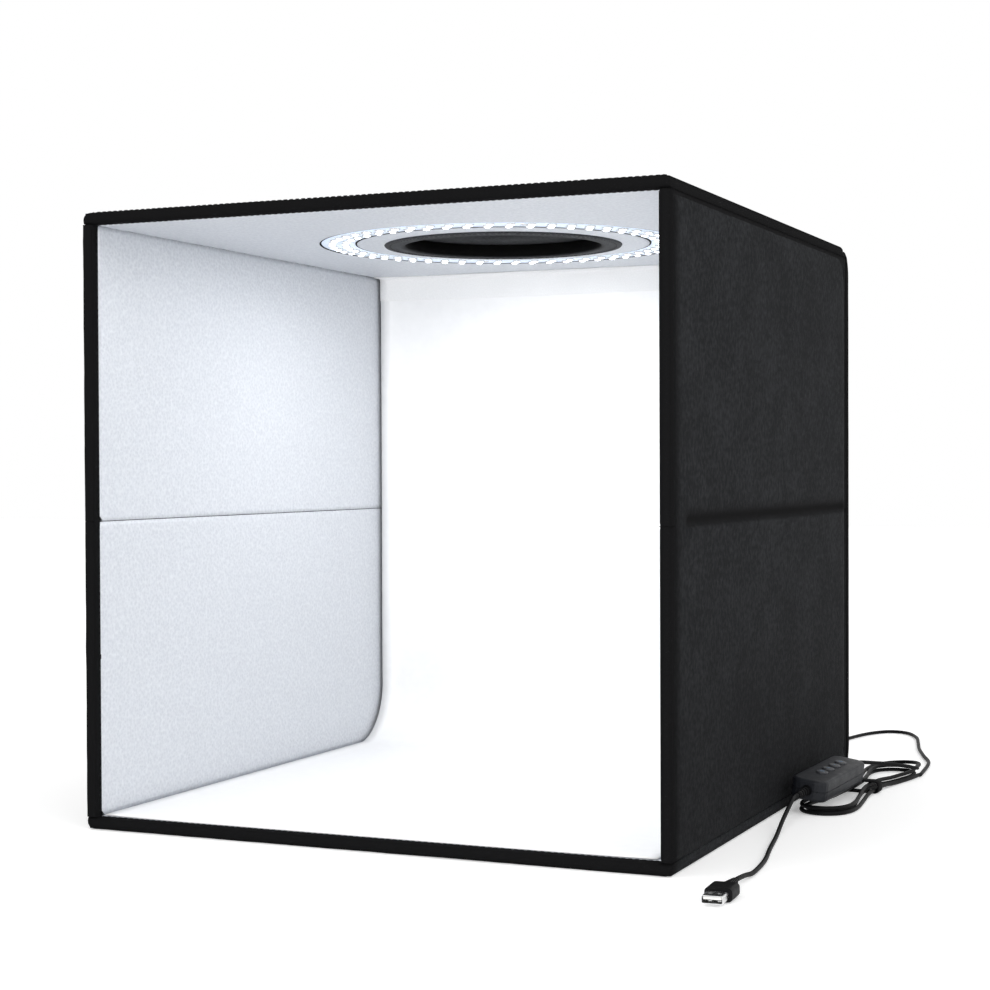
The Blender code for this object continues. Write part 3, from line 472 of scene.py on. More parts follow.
# The dark rings at the plate's outer and inner rims fill the gaps to the liner: painted shadow in the gaps
ringLight = {
    "centre": (0.0, 0.010), "outer": 0.1290, "inner": 0.1050, "face": 0.3924, "thickness": 0.0016, "seam": 0.0013,
    "flangeOuter": 0.0845, "window": 0.0695, "wall": 0.0015, "flangeThickness": 0.0014, "coreHole": 0.0715,
    "soft": 0.0003, "gapShadowDrop": 0.0003, "outerSeam": (0.0001, 0.0012), "innerSeam": (-0.0011, -0.0001),
    "panelGap": 0.0008, "liningGap": 0.0012,
}

half, frontY, rearY, height = (tent[k] for k in ("halfWidth", "frontY", "rearY", "height"))
low, mid, gap = tent["wallLow"], tent["creaseHeight"], tent["creaseGap"] / 2
quarter = math.pi / 2
leftTurn = Matrix.Translation((-half, 0, 0)) @ Matrix.Rotation(quarter, 4, "Y")
rightTurn = Matrix.Translation((half, 0, 0)) @ Matrix.Rotation(-quarter, 4, "Y")
topTurn = Matrix.Translation((0, 0, height)) @ Matrix.Rotation(math.pi, 4, "Y")
backTurn = Matrix.Translation((0, tent["backY"], 0)) @ Matrix.Rotation(quarter, 4, "X")
front, rear, square = tent["frontCorner"], tent["rearCorner"], tent["squareCorner"]


def board(body, place, lowCorner, highCorner, radii):
    # Sides and corners are counted from low x, then low y, high x, high y
    return {"body": body, "place": place, "low": lowCorner, "high": highCorner, "radii": radii}


# A wall's rear corner is rounded where it meets the base or the top
third, fourth = (square, square, rear, square), (square, square, square, rear)
boards = {
    "base": board("base", Matrix.Identity(4), (-half, frontY), (half, rearY), (front, front, rear, rear)),
    "top": board("top", topTurn, (-half, frontY), (half, rearY), (front, front, rear, rear)),
    "back": board("back", backTurn, (-half, 0.0), (half, height), (tent["backFoot"], tent["backFoot"], rear, rear)),
    "leftLower": board("left_lower", leftTurn, (-(mid - gap), frontY), (-low, rearY), third),
    "leftUpper": board("left_upper", leftTurn, (-(height - low), frontY), (-(mid + gap), rearY), fourth),
    "rightLower": board("right_lower", rightTurn, (low, frontY), (mid - gap, rearY), fourth),
    "rightUpper": board("right_upper", rightTurn, (mid + gap, frontY), (height - low, rearY), third),
}


def fourSides(value):
    return value if isinstance(value, tuple) else (value,) * 4


def insetRadii(item, insets, least):
    return [max(least, item["radii"][k] - min(insets[k], insets[(k + 1) % 4])) for k in range(4)]


def insetBoard(item, insets):
    insets = fourSides(insets)
    lowCorner = (item["low"][0] + insets[0], item["low"][1] + insets[1])
    highCorner = (item["high"][0] - insets[2], item["high"][1] - insets[3])
    return board(item["body"], item["place"], lowCorner, highCorner, insetRadii(item, insets, 0.0008))


def outlineLoop(item, insets, heights, arcSteps=8, sideStep=0.005):
    # One loop round a board; four insets or heights are eased into each other round the corners
    insets, heights = fourSides(insets), fourSides(heights)
    lowX, lowY = item["low"][0] + insets[0], item["low"][1] + insets[1]
    highX, highY = item["high"][0] - insets[2], item["high"][1] - insets[3]
    corners = ((lowX, lowY, 1, 1), (highX, lowY, -1, 1), (highX, highY, -1, -1), (lowX, highY, 1, -1))
    spans = [max(4, round((item["high"][k] - item["low"][k]) / sideStep)) for k in (0, 1)]
    radii = insetRadii(item, insets, 0.0004)
    arcs = []
    for k, (x, y, wayX, wayY) in enumerate(corners):
        radius = radii[k]
        cx, cy = x + wayX * radius, y + wayY * radius
        arc = []
        for step in range(arcSteps + 1):
            share = step / arcSteps
            angle = math.pi + quarter * (k + share)
            lift = heights[k] + (heights[(k + 1) % 4] - heights[k]) * ease(share)
            arc.append((cx + radius * math.cos(angle), cy + radius * math.sin(angle), lift))
        arcs.append(arc)
    loop = []
    for k, arc in enumerate(arcs):
        loop += arc
        a, b = np.array(arc[-1]), np.array(arcs[(k + 1) % 4][0])
        steps = spans[k % 2]
        loop += [tuple(a + (b - a) * i / steps) for i in range(1, steps)]
    return loop


def placed(place, points):
    grid = np.array(points, dtype=float)
    turn = np.array(place)
    return grid @ turn[:3, :3].T + turn[:3, 3]


def cornerIndex(x, y, cx, cy):
    return (0 if x < cx else 1) if y < cy else (3 if x < cx else 2)


def edgeDistance(item, x, y):
    # Distance in from the board's outline, corners included
    width, length = item["high"][0] - item["low"][0], item["high"][1] - item["low"][1]
    cx, cy = (item["low"][0] + item["high"][0]) / 2, (item["low"][1] + item["high"][1]) / 2
    radius = item["radii"][cornerIndex(x, y, cx, cy)]
    qx, qy = abs(x - cx) - width / 2 + radius, abs(y - cy) - length / 2 + radius
    return -(min(max(qx, qy), 0.0) + math.hypot(max(qx, 0.0), max(qy, 0.0)) - radius)


def bendRear(point):
    # The tent's rear is rounded in side view at its top and foot, most at the outer faces and not at all inside
    reach = tent["rearBend"]
    u, upper = (point[1] - tent["backY"]) / reach + 1, point[2] > height / 2
    v = (point[2] - height if upper else -point[2]) / reach + 1
    deep = 1 - tent["thickness"] / reach
    m = max(u, v)
    if u <= 0 or v <= 0 or m <= deep:
        return point
    across = quarter / 2 * min(u, v) / m
    ringU, ringV = m * math.cos(across), m * math.sin(across)
    if u < v:
        ringU, ringV = ringV, ringU
    target = deep * math.sqrt(2) + (1 - deep * math.sqrt(2)) * (m - deep) / (1 - deep)
    share = (math.sqrt(2) * m - target) / (m * (math.sqrt(2) - 1))
    u, v = u + (ringU - u) * share, v + (ringV - v) * share
    return (point[0], tent["backY"] + (u - 1) * reach, height + (v - 1) * reach if upper else -(v - 1) * reach)


def bendPiece(piece):
    for vertex in piece.data.vertices:
        vertex.co = bendRear(vertex.co)
    return piece


def cutAway(piece, cutter):
    modifier = piece.modifiers.new("trim", "BOOLEAN")
    modifier.object = cutter
    modifier.operation = "DIFFERENCE"
    modifier.solver = "MANIFOLD"
    return toPlainMesh(piece)


leadSlot = {
    "left": 0.143, "right": 0.157, "foot": -0.006, "top": 0.032, "corner": 0.0066, "through": (-0.004, 0.012),
    "stitchGap": 0.006, "stitchTop": 0.03,
}


def slotCutter(look):
    # The lead's slot at the foot of the back board
    item = board("back", backTurn, (look["left"], look["foot"]), (look["right"], look["top"]), (look["corner"],) * 4)
    loops = [placed(backTurn, outlineLoop(item, 0.0, z, 8, 0.004)) for z in look["through"]]
    return cappedPiece("slotCutter", loops)


backSlot = slotCutter(leadSlot)

# Covers: cloth wraps every edge of a board and ends in a lip on each face

coverLook = {
    "sideRound": 0.0062,
    "frontRound": 0.0034,
    "wallRound": 0.0036,
    "leftFrontRound": 0.0018,
    "rightFrontRound": 0.0045,
    "backRound": 0.0018,
    "creaseRound": 0.0008,
    "innerRound": 0.0010,
    "innerFrontRound": (0.0062, 0.0030),
    "outerLip": 0.0125,
    "innerFrontLip": 0.0068,
    "innerLip": 0.0030,
    "backLip": 0.0096,
    "coreLoop": 0.0100,
    "coreGap": 0.0003,
    "coreReach": 0.004,
    "insideGap": 0.0006,
    "leastRim": 0.0002,
    "outerSteps": 6,
    "innerSteps": 5,
    "ripple": 0.00022,
    "thickness": 0.0007,
}
creaseRelief = {
    "depth": 0.0018, "reach": 0.0024, "skin": 0.004,
    "frontEnd": 0.008, "frontRun": 0.010, "rearEnd": 0.002, "rearRun": 0.008,
}
# Where the covers' rims take their darker tone: binding colour and painted shade
rimBindingAndShade = {
    "frontEnd": 0.0200, "frontRun": 0.016, "topEnd": 0.0125, "topRun": 0.002, "rearEnd": 0.0100, "rearRun": 0.003,
}


def edgeStages(rounds, deeper, look):
    # Insets and heights of the loops over a board's rounded edge, from its outer to its inner face
    thick, stages = tent["thickness"], []
    for step in range(look["outerSteps"] + 1):
        a = quarter * step / look["outerSteps"]
        stages.append((tuple(r * (1 - math.sin(a)) + deeper for r in rounds),
                       tuple(r * (1 - math.cos(a)) + deeper for r in rounds)))
    inner = [(min(look["innerRound"], 0.5 * r, thick - r - look["leastRim"]),) * 2 for r in rounds]
    wide, tall = look["innerFrontRound"]
    inner[1] = (wide, min(tall, thick - rounds[1] - look["leastRim"]))
    for step in range(1, look["innerSteps"] + 1):
        a = quarter * step / look["innerSteps"]
        stages.append((tuple(w * (1 - math.cos(a)) + deeper for w, t in inner),
                       tuple(thick - t * (1 - math.sin(a)) - deeper for w, t in inner)))
    return stages


def shapeBoard(piece, item, look=creaseRelief):
    # Rear corners are bent round; a wall's outer side falls in at the crease, to leave room for the skin's fold
    if item["body"] in ("base", "top", "back"):
        return bendPiece(piece)
    for vertex in piece.data.vertices:
        co, sign = vertex.co, 1 if vertex.co.x > 0 else -1
        share = ease((co.y - frontY - look["frontEnd"]) / look["frontRun"])
        share *= ease((rearY - look["rearEnd"] - co.y) / look["rearRun"])
        if abs(co.z - mid) < look["reach"] and abs(co.x) > half - look["skin"]:
            co.x -= sign * look["depth"] * share
    return piece


def makeCover(name, item, rounds, lips, cutter=None, look=coverLook):
    # Closed shell round the board's edge: outer lip, rounded edge, inner lip, and back inside
    thick, wall = tent["thickness"], look["thickness"]
    around = wall + look["insideGap"]
    outer = [(look["outerLip"], 0.0)] + edgeStages(rounds, 0.0, look)
    inside = [(lips, thick), (lips, thick - wall), (around, thick - wall), (around, wall), (look["outerLip"], wall)]
    loops = [placed(item["place"], outlineLoop(item, insets, heights)) for insets, heights in outer + inside]
    normalWay = np.array(item["place"].to_3x3() @ Vector((0, 0, 1)))
    for loop in loops[:look["outerSteps"] + 2]:
        for i, point in enumerate(loop):
            wave = noise.noise(Vector(point) * 45.0) + 0.6 * noise.noise(Vector(point) * 130.0)
            loop[i] = point + normalWay * wave * look["ripple"]
    piece = sweptPiece(name, loops)
    if cutter:
        cutAway(piece, cutter)
    return shapeBoard(piece, item)


def towardsHole(x, y, radius, centre):
    # The point of a round hole in line with another point
    angle = math.atan2(y - centre[1], x - centre[0])
    return centre[0] + radius * math.cos(angle), centre[1] + radius * math.sin(angle)


def makeCore(name, item, rounds, cutter=None, hole=None, look=coverLook):
    # The stiff board inside the cloth, with the same rounded edges; hole is a radius and a centre
    inside, reach = look["thickness"] + look["coreGap"], tent["rearBend"] + look["coreReach"]
    stages = [(reach, inside)] + edgeStages(rounds, inside, look)
    stages += [(inset, tent["thickness"] - inside) for inset in (look["coreLoop"], reach)]
    loops = [outlineLoop(item, insets, heights) for insets, heights in stages]
    if hole:
        first, last = ([(*towardsHole(x, y, *hole), z) for x, y, z in loops[end]] for end in (0, -1))
        loops = [first, *loops, last]
    piece = sweptPiece(name, [placed(item["place"], loop) for loop in loops], True, bool(hole), not hole)
    if cutter:
        cutAway(piece, cutter)
    return shapeBoard(piece, item)


def setBindingAndShadeMask(piece, toneAt):
    # Writes the edge mask for the cloth's darker tone: a binding's own colour on some pieces, painted shade and
    # painted shadow on others
    attribute = piece.data.attributes.new("edge", "FLOAT", "POINT")
    attribute.data.foreach_set("value", [toneAt(v.co) for v in piece.data.vertices])
    return piece


def coverRounds(key, look=coverLook):
    if key == "back":
        return (look["backRound"],) * 4
    if key in ("base", "top"):
        return (look["sideRound"], look["frontRound"]) * 2
    frontRound = look["leftFrontRound" if key.startswith("left") else "rightFrontRound"]
    return (look["creaseRound"], frontRound, look["creaseRound"], look["wallRound"])


# Darker towards the front face: binding colour and painted shade
def frontBindingAndShade(co):
    return ease((frontY + rimBindingAndShade["frontEnd"] - co.y) / rimBindingAndShade["frontRun"])


def coverBindingAndShade(co):
    # Binding colour and painted shade: the front faces, the top board's edges and the rim bands are darker than the
    # panels
    upper = ease((co.z - (height - rimBindingAndShade["topEnd"])) / rimBindingAndShade["topRun"])
    rearward = ease((co.y - (rearY - rimBindingAndShade["rearEnd"])) / rimBindingAndShade["rearRun"])
    return max(frontBindingAndShade(co), upper, rearward)


for key, item in boards.items():
    lip, body = coverLook["innerLip"], item["body"]
    lips = coverLook["backLip"] if key == "back" else (lip, coverLook["innerFrontLip"], lip, lip)
    cutter = backSlot if key == "back" else None
    hole = (ringLight["coreHole"], ringLight["centre"]) if key == "top" else None
    cover = makeCover(key + "Cover", item, coverRounds(key), lips, cutter)
    setBindingAndShadeMask(cover, coverBindingAndShade)
    dress(cover, "coverCloth", "black_tape", body, body + "_edge_tape")
    core = makeCore(key + "Core", item, coverRounds(key), cutter, hole)
    dress(core, "fibreBoard", "fibre_board", body, body + "_core_board")
print("covers made")

# Panels: outer cloth and silver liner, raised a little off the board like quilted faces


def panelGrid(item, step):
    # Square grid with its corners drawn onto the rounded outline
    (lowX, lowY), (highX, highY) = item["low"], item["high"]
    steps = [max(4, round((item["high"][k] - item["low"][k]) / step[k])) for k in (0, 1)]
    grid = []
    for i in range(steps[0] + 1):
        row = []
        for j in range(steps[1] + 1):
            x = lowX + (highX - lowX) * i / steps[0]
            y = lowY + (highY - lowY) * j / steps[1]
            corner = cornerIndex(x, y, (lowX + highX) / 2, (lowY + highY) / 2)
            radius = item["radii"][corner]
            wayX, wayY = (-1 if corner in (0, 3) else 1), (-1 if corner in (0, 1) else 1)
            cx = lowX + radius if wayX < 0 else highX - radius
            cy = lowY + radius if wayY < 0 else highY - radius
            a, b = (x - cx) * wayX / radius, (y - cy) * wayY / radius
            if a > 0 and b > 0:
                x = cx + wayX * radius * a * math.sqrt(1 - b * b / 2)
                y = cy + wayY * radius * b * math.sqrt(1 - a * a / 2)
            row.append((x, y))
        grid.append(row)
    return grid


def sheetPiece(name, upper, lower, flat):
    # Closed thin body between two grids of the same size
    rows, columns = len(upper), len(upper[0])
    total = rows * columns
    faces, spots = gridFaces(rows, columns)
    under, underSpots = gridFaces(rows, columns, False, False, total)
    corners = [flat[i][j] for group in (spots, underSpots) for quad in group for i, j in quad]
    rim = [(i, 0) for i in range(rows)] + [(rows - 1, j) for j in range(1, columns)]
    rim += [(i, columns - 1) for i in range(rows - 2, -1, -1)] + [(0, j) for j in range(columns - 2, 0, -1)]
    sides = []
    for k, (i, j) in enumerate(rim):
        m, n = rim[(k + 1) % len(rim)]
        a, b = i * columns + j, m * columns + n
        sides.append([a, b, total + b, total + a])
        corners += [flat[i][j], flat[m][n], flat[m][n], flat[i][j]]
    points = [p for row in upper for p in row] + [p for row in lower for p in row]
    return addPiece(name, points, faces + under + sides, corners)


def panelLift(rise, liftAt, world, inward):
    swell = (1 - math.exp(-inward / rise["run"])) * rise["height"]
    return swell + liftAt(world, inward) * ease(inward / rise["run"])


def panelPiece(name, item, insets, rise, liftAt, step=(0.004, 0.004), sideways=1, sink=0.0004):
    # sideways 1 raises the panel off the outer face, -1 off the inner face; liftAt gives extra height in metres
    thick, place = tent["thickness"], item["place"]
    inset = insetBoard(item, insets)
    grid = panelGrid(inset, step)
    upper, lower = [], []
    for row in grid:
        upperRow, lowerRow = [], []
        for x, y in row:
            world = place @ Vector((x, y, 0 if sideways > 0 else thick))
            lift = panelLift(rise, liftAt, world, max(0.0, edgeDistance(inset, x, y)))
            face = -lift if sideways > 0 else thick + lift
            base = max(sink, 0.0003 - lift) if sideways > 0 else thick - sink
            upperRow.append(place @ Vector((x, y, face)))
            lowerRow.append(place @ Vector((x, y, base)))
        upper.append(upperRow)
        lower.append(lowerRow)
    return sheetPiece(name, upper, lower, grid)


def clothWrinkle(world, inward):
    broad = noise.noise(world * 9.0) * 0.00045
    return broad + noise.noise(world * 38.0 + Vector((3, 1, 2))) * 0.00012


def linerWrinkle(world, inward):
    pucker = noise.noise(world * 160.0) * 0.00020 + noise.noise(world * 330.0) * 0.00010
    return noise.noise(world * 14.0) * 0.00025 + pucker


def backWrinkle(world, inward):
    return linerWrinkle(world, inward) * 0.25


outerPanel = {"inset": 0.0042, "run": 0.0035, "height": 0.0009}
linerPanel = {"run": 0.0016, "height": 0.0003, "step": (0.0032, 0.0032)}
backLinerPanel = {"run": 0.0016, "height": 0.0001, "step": (0.0040, 0.0040)}
sideSkins = {
    "foot": 0.0006, "top": 0.0026, "front": 0.0046, "rear": 0.0085,
    "step": (0.0010, 0.0042), "sink": 0.0003, "blendReach": 0.0022,
}
creaseFold = {
    "groove": 0.0015, "valley": 0.0028, "under": 0.0022, "lip": 0.0014, "roll": 0.0050, "rise": 0.0022,
    "frontEnd": 0.020, "rearEnd": 0.010, "endRun": 0.012, "calm": 0.004, "endSink": 0.0003, "endReach": 0.002,
}
# Painted shade on the side skins: the crease's shadow, the lower panel, and the front edge with its binding
skinShade = {
    "start": -0.0006, "startRun": 0.0014, "darkest": 0.0040, "spread": 0.0055, "frontEnd": 0.018, "frontRun": 0.012,
    "lower": 0.36, "lowerRun": 0.18, "front": 0.95,
}


def creaseLift(world, inward, look=creaseFold):
    # The upper panel rolls in to a dark line, and the lower panel starts under it with a raised lip
    down = mid - world.z
    fade = ease(min(world.y - (frontY + look["frontEnd"]), rearY - look["rearEnd"] - world.y) / look["endRun"])
    if down <= 0:
        past = -down - look["valley"]
        fold = -look["groove"] * math.exp(-(past / (look["under"] if past < 0 else look["roll"])) ** 2)
    elif down < look["rise"]:
        start = -look["groove"] * math.exp(-(look["valley"] / look["under"]) ** 2)
        fold = start + (look["lip"] - start) * ease(down / look["rise"])
    else:
        fold = look["lip"] * math.exp(-(down - look["rise"]) / look["roll"])
    wrinkle = clothWrinkle(world, inward) * (1 - math.exp(-abs(down) / look["calm"]))
    return wrinkle + fold * fade - look["endSink"] * (1 - fade) * math.exp(-abs(down) / look["endReach"])


def skinPaintedShade(co, look=skinShade):
    # Painted shade: darker above the crease's line, under the upper panel's roll, and down the lower panel; towards
    # the padded front edge, binding colour and painted shade
    up = co.z - mid - look["start"]
    groove = math.exp(-((up - look["darkest"]) / look["spread"]) ** 2) * ease(1 + up / look["startRun"])
    fade = ease((co.y - frontY - look["frontEnd"]) / look["frontRun"])
    lower = look["lower"] * ease((mid - co.z) / look["lowerRun"])
    return max(groove * fade, lower, look["front"] * frontBindingAndShade(co))


def sideSkin(side, look):
    # One cloth over both half boards, so that the fold is a crease and not a gap
    lower, upper = boards[side + "Lower"], boards[side + "Upper"]
    lowX, highX = min(lower["low"][0], upper["low"][0]), max(lower["high"][0], upper["high"][0])
    radii = (square, square, tent["panelCorner"], tent["panelCorner"])
    whole = board(lower["body"], lower["place"], (lowX, frontY), (highX, rearY), radii)
    first, last = (look["foot"], look["top"]) if side == "right" else (look["top"], look["foot"])
    insets = (first, look["front"], last, look["rear"])
    piece = panelPiece(side + "Skin", whole, insets, outerPanel, creaseLift, look["step"], 1, look["sink"])
    setMaterial(piece, finishes["coverCloth"])
    setBindingAndShadeMask(piece, skinPaintedShade)
    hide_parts(lower["body"] + "_outer_cloth", upper["body"] + "_outer_cloth")
    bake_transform(piece)


sideSkin("left", sideSkins)
sideSkin("right", sideSkins)
print("side skins made")

# Lead: one run from the outlet through the hank to the dimmer, and one from the dimmer to the plug

leadSizes = {"diameter": 0.0028, "spacing": 0.004, "sides": 14}
outletPlace = Vector((0.150, 0.2278, 0.004))
rearRoute = [
    (0.1500, 0.262, 0.0022), (0.1512, 0.290, 0.0016), (0.1548, 0.335, 0.0016),
    (0.1610, 0.378, 0.0016), (0.1700, 0.412, 0.0016), (0.1835, 0.431, 0.0016),
    (0.2000, 0.427, 0.0016), (0.2130, 0.402, 0.0016), (0.2210, 0.370, 0.0016),
    (0.2290, 0.335, 0.0016), (0.2400, 0.298, 0.0016), (0.2510, 0.262, 0.0016),
]
linkRoute = [(0.2440, 0.168, 0.0135), (0.2345, 0.150, 0.0165)]
frontRoute = [
    (0.2180, -0.022, 0.0150), (0.2195, -0.050, 0.0070), (0.2240, -0.082, 0.0024),
    (0.2300, -0.118, 0.0016), (0.2370, -0.155, 0.0016), (0.2405, -0.190, 0.0018),
    (0.2402, -0.206, 0.0032),
]
hank = {
    "x": 0.232, "y": 0.118, "turnDeg": -3.0, "halfLength": 0.108, "waist": 0.0106, "lobe": 0.032,
    "pitch": 0.0054, "layerStep": 0.0034, "startDeg": 42.0, "turns": 3.0, "climbTurns": 0.25,
    "floorZ": 0.0016, "tieLift": 0.0013, "tieRamp": 0.030, "pointsPerTurn": 72,
}
dimmerPlace = {
    "middle": (0.2215, 0.062, 0.0172), "turnDeg": (1.5, 8.0, -4.0), "sleeveReach": 0.0653, "shellTop": 0.00725,
}
plugPlace = {"middle": (0.2405, -0.2265, 0.0041), "turnDeg": (0, 0, 182.9)}


def smoothLine(route, spacing):
    points = [Vector(p) for p in route]
    ends = [2 * points[0] - points[1]] + points + [2 * points[-1] - points[-2]]
    dense = []
    for a, b, c, d in zip(ends, ends[1:], ends[2:], ends[3:]):
        for step in range(24):
            t = step / 24
            bend, twist = 2 * a - 5 * b + 4 * c - d, 3 * b - a - 3 * c + d
            dense.append(0.5 * (2 * b + (c - a) * t + bend * t ** 2 + twist * t ** 3))
    dense.append(points[-1])
    lengths = np.cumsum([0.0] + [(q - p).length for p, q in zip(dense, dense[1:])])
    stops = np.linspace(0.0, lengths[-1], max(2, round(lengths[-1] / spacing)) + 1)
    table = np.array([tuple(p) for p in dense])
    return [Vector(row) for row in zip(*(np.interp(stops, lengths, table[:, k]) for k in range(3)))]


def lineLength(points):
    return sum((q - p).length for p, q in zip(points, points[1:]))


hankFrame = Matrix.Translation((hank["x"], hank["y"], 0)) @ Matrix.Rotation(math.radians(hank["turnDeg"]), 4, "Z")


def hankPoint(turn):
    angle = math.radians(hank["startDeg"]) + 2 * math.pi * turn
    middle = hank["turns"] / 2
    inset = hank["pitch"] * (middle - abs(turn - middle))
    along = (hank["halfLength"] - inset) * math.cos(angle)
    across = (hank["waist"] + hank["lobe"] * math.cos(angle) ** 2 - inset) * math.sin(angle)
    layer = ease((turn - middle) / (2 * hank["climbTurns"]) + 0.5)
    layer += ease((turn - hank["turns"]) / hank["climbTurns"] + 1.0)
    lift = hank["tieLift"] * ease(1.5 - abs(along) / hank["tieRamp"])
    return hankFrame @ Vector((across, along, hank["floorZ"] + hank["layerStep"] * layer + lift))


def placeFrame(place):
    turned = Matrix.Translation(place["middle"])
    for angle, way in zip(reversed(place["turnDeg"]), ("Z", "Y", "X")):
        turned = turned @ Matrix.Rotation(math.radians(angle), 4, way)
    return turned


dimmerFrame, plugFrame = placeFrame(dimmerPlace), placeFrame(plugPlace)


def leadPath():
    count = round(hank["turns"] * hank["pointsPerTurn"])
    loops = [hankPoint(i * hank["turns"] / count) for i in range(count + 1)]
    coarse = 1 / 24
    firstWay = (hankPoint(0) - hankPoint(coarse)).normalized()
    lastWay = (hankPoint(hank["turns"]) - hankPoint(hank["turns"] - coarse)).normalized()
    straight, step, reach = 2 * leadSizes["diameter"], leadSizes["diameter"], dimmerPlace["sleeveReach"]
    start = loops[0] + firstWay * step
    finish = loops[-1] + lastWay * step
    route = [outletPlace, outletPlace + Vector((0, straight, 0)), *rearRoute, start + firstWay * straight]
    rearLine = smoothLine(route + [start], leadSizes["spacing"])
    link = [finish, finish + lastWay * straight, *linkRoute]
    link += [dimmerFrame @ Vector((0, reach + straight, 0)), dimmerFrame @ Vector((0, reach, 0))]
    return rearLine + loops + smoothLine(link, leadSizes["spacing"])


def frontPath():
    straight, reach = 2 * leadSizes["diameter"], dimmerPlace["sleeveReach"]
    route = [dimmerFrame @ Vector((0, -reach, 0)), dimmerFrame @ Vector((0, -reach - straight, 0)), *frontRoute]
    route += [plugFrame @ Vector((0, -straight, 0)), plugFrame @ Vector((0, -0.0003, 0))]
    return smoothLine(route, leadSizes["spacing"])


def makeLead(name, path, *nodes):
    piece = cappedPiece(name, tubeLoops(path, leadSizes["diameter"] / 2, leadSizes["sides"]))
    return dress(piece, "softMoulding", "black_rubber", "base", *nodes)


mainPath, plugPath = leadPath(), frontPath()
mainLead = makeLead("leadToDimmer", mainPath, "lead_rear_run", "lead_hank", "lead_link_run")
plugLead = makeLead("leadToPlug", plugPath, "lead_front_run")

hankTie = {
    "width": 0.010, "thickness": 0.0011, "insideX": 0.0123, "lowZ": 0.0002, "highZ": 0.0080, "corner": 0.0030,
    "soft": 0.0003,
}


def makeTie(look):
    # Woven hook tie round the hank's waist
    item = board("base", hankFrame, (-look["insideX"] - look["thickness"], look["lowZ"]),
                 (look["insideX"] + look["thickness"], look["highZ"] + look["thickness"]), (look["corner"],) * 4)
    halfWidth, wall, soft = look["width"] / 2, look["thickness"], look["soft"]
    stages = [(0.0, -halfWidth + soft), (soft, -halfWidth), (wall - soft, -halfWidth), (wall, -halfWidth + soft),
              (wall, halfWidth - soft), (wall - soft, halfWidth), (soft, halfWidth), (0.0, halfWidth - soft)]
    loops = []
    for inset, y in stages:
        loop = outlineLoop(item, inset, 0.0, 8, 0.0015)
        loops.append([hankFrame @ Vector((px, y, pz)) for px, pz, _ in loop])
    return dress(sweptPiece("hankTie", loops), "edgeTape", "black_tape", "base", "hank_tie")


tie = makeTie(hankTie)
buttonSpots = {"power": -0.01725, "brighter": -0.00375, "dimmer": 0.00975, "colour": 0.02325}
buttonNodes = ["button_" + kind for kind in buttonSpots]
print("lead to dimmer %.4f m, lead to plug %.4f m" % (lineLength(mainPath), lineLength(plugPath)))
tuple(mainPath[0])
lineLength(mainPath)
[tuple(p) for p in mainPath]
tuple(plugPath[0])
lineLength(plugPath)
[tuple(p) for p in plugPath]
print("lead laid")

# Silver liners: full faces inside, close to the corners, with a cloth lip left bare along the front

linerInsets = {
    "base": (0.0010, 0.0062, 0.0010, 0.0010), "back": (0.0090, 0.0090, 0.0090, 0.0090),
    "leftLower": (0.0002, 0.0062, 0.0004, 0.0012), "leftUpper": (0.0004, 0.0062, 0.0002, 0.0012),
    "rightLower": (0.0004, 0.0062, 0.0002, 0.0012), "rightUpper": (0.0002, 0.0062, 0.0004, 0.0012),
}

for key, insets in linerInsets.items():
    item = boards[key]
    look, wrinkle = (backLinerPanel, backWrinkle) if key == "back" else (linerPanel, linerWrinkle)
    piece = panelPiece(key + "Liner", item, insets, look, wrinkle, look["step"], -1)
    if key == "back":
        cutAway(piece, backSlot)
    dress(piece, "silverLiner", "silver_liner", item["body"], item["body"] + "_liner")
print("liners made")


def holedPanel(name, item, insets, hole, rise, liftAt, sideways, rings=34, sink=0.0004):
    # Rings morph from a round hole at the light's centre to the board's outline
    thick, place, centre = tent["thickness"], item["place"], ringLight["centre"]
    outline = outlineLoop(item, insets, 0.0, 8, 0.0042)
    inner = [towardsHole(x, y, hole, centre) for x, y, _ in outline]
    inset = insetBoard(item, insets)
    loops, flats = [], []
    for r in range(rings + 1):
        share = r / rings
        loop, flat = [], []
        for (x0, y0), (x1, y1, _) in zip(inner, outline):
            x, y = x0 + (x1 - x0) * share, y0 + (y1 - y0) * share
            world = place @ Vector((x, y, 0 if sideways > 0 else thick))
            inward = max(0.0, min(edgeDistance(inset, x, y), math.hypot(x - centre[0], y - centre[1]) - hole))
            lift = panelLift(rise, liftAt, world, inward)
            loop.append(place @ Vector((x, y, -lift if sideways > 0 else thick + lift)))
            flat.append((x, y))
        loops.append(loop)
        flats.append(flat)
    base = sink if sideways > 0 else thick - sink
    for flat in (flats[-1], flats[0]):
        loops.append([place @ Vector((x, y, base)) for x, y in flat])
        flats.append(flat)
    grid = np.array(loops, dtype=float)
    rows, columns = grid.shape[:2]
    faces, spots = gridFaces(rows, columns, True, True)
    corners = [flats[i % rows][j % columns] for quad in spots for i, j in quad]
    return addPiece(name, grid.reshape(-1, 3), faces, corners)


ceilingHole = ringLight["outer"] + ringLight["seam"]
ceiling = holedPanel("ceilingLiner", boards["top"], linerInsets["base"], ceilingHole, linerPanel, linerWrinkle, -1)
dress(ceiling, "silverLiner", "silver_liner", "top", "top_liner")


def turnedPiece(name, profile, steps=128, closed=True):
    # profile: (radius, z) round the light's standing axis
    loops = [[(x, y, z) for x, y in circlePoints(ringLight["centre"], radius, steps)] for radius, z in profile]
    return sweptPiece(name, loops, True, closed)


ceilingDisc = {"innerGap": 0.0004, "outerGap": 0.0012, "dish": 0.0004, "sink": 0.0005, "steps": 14}


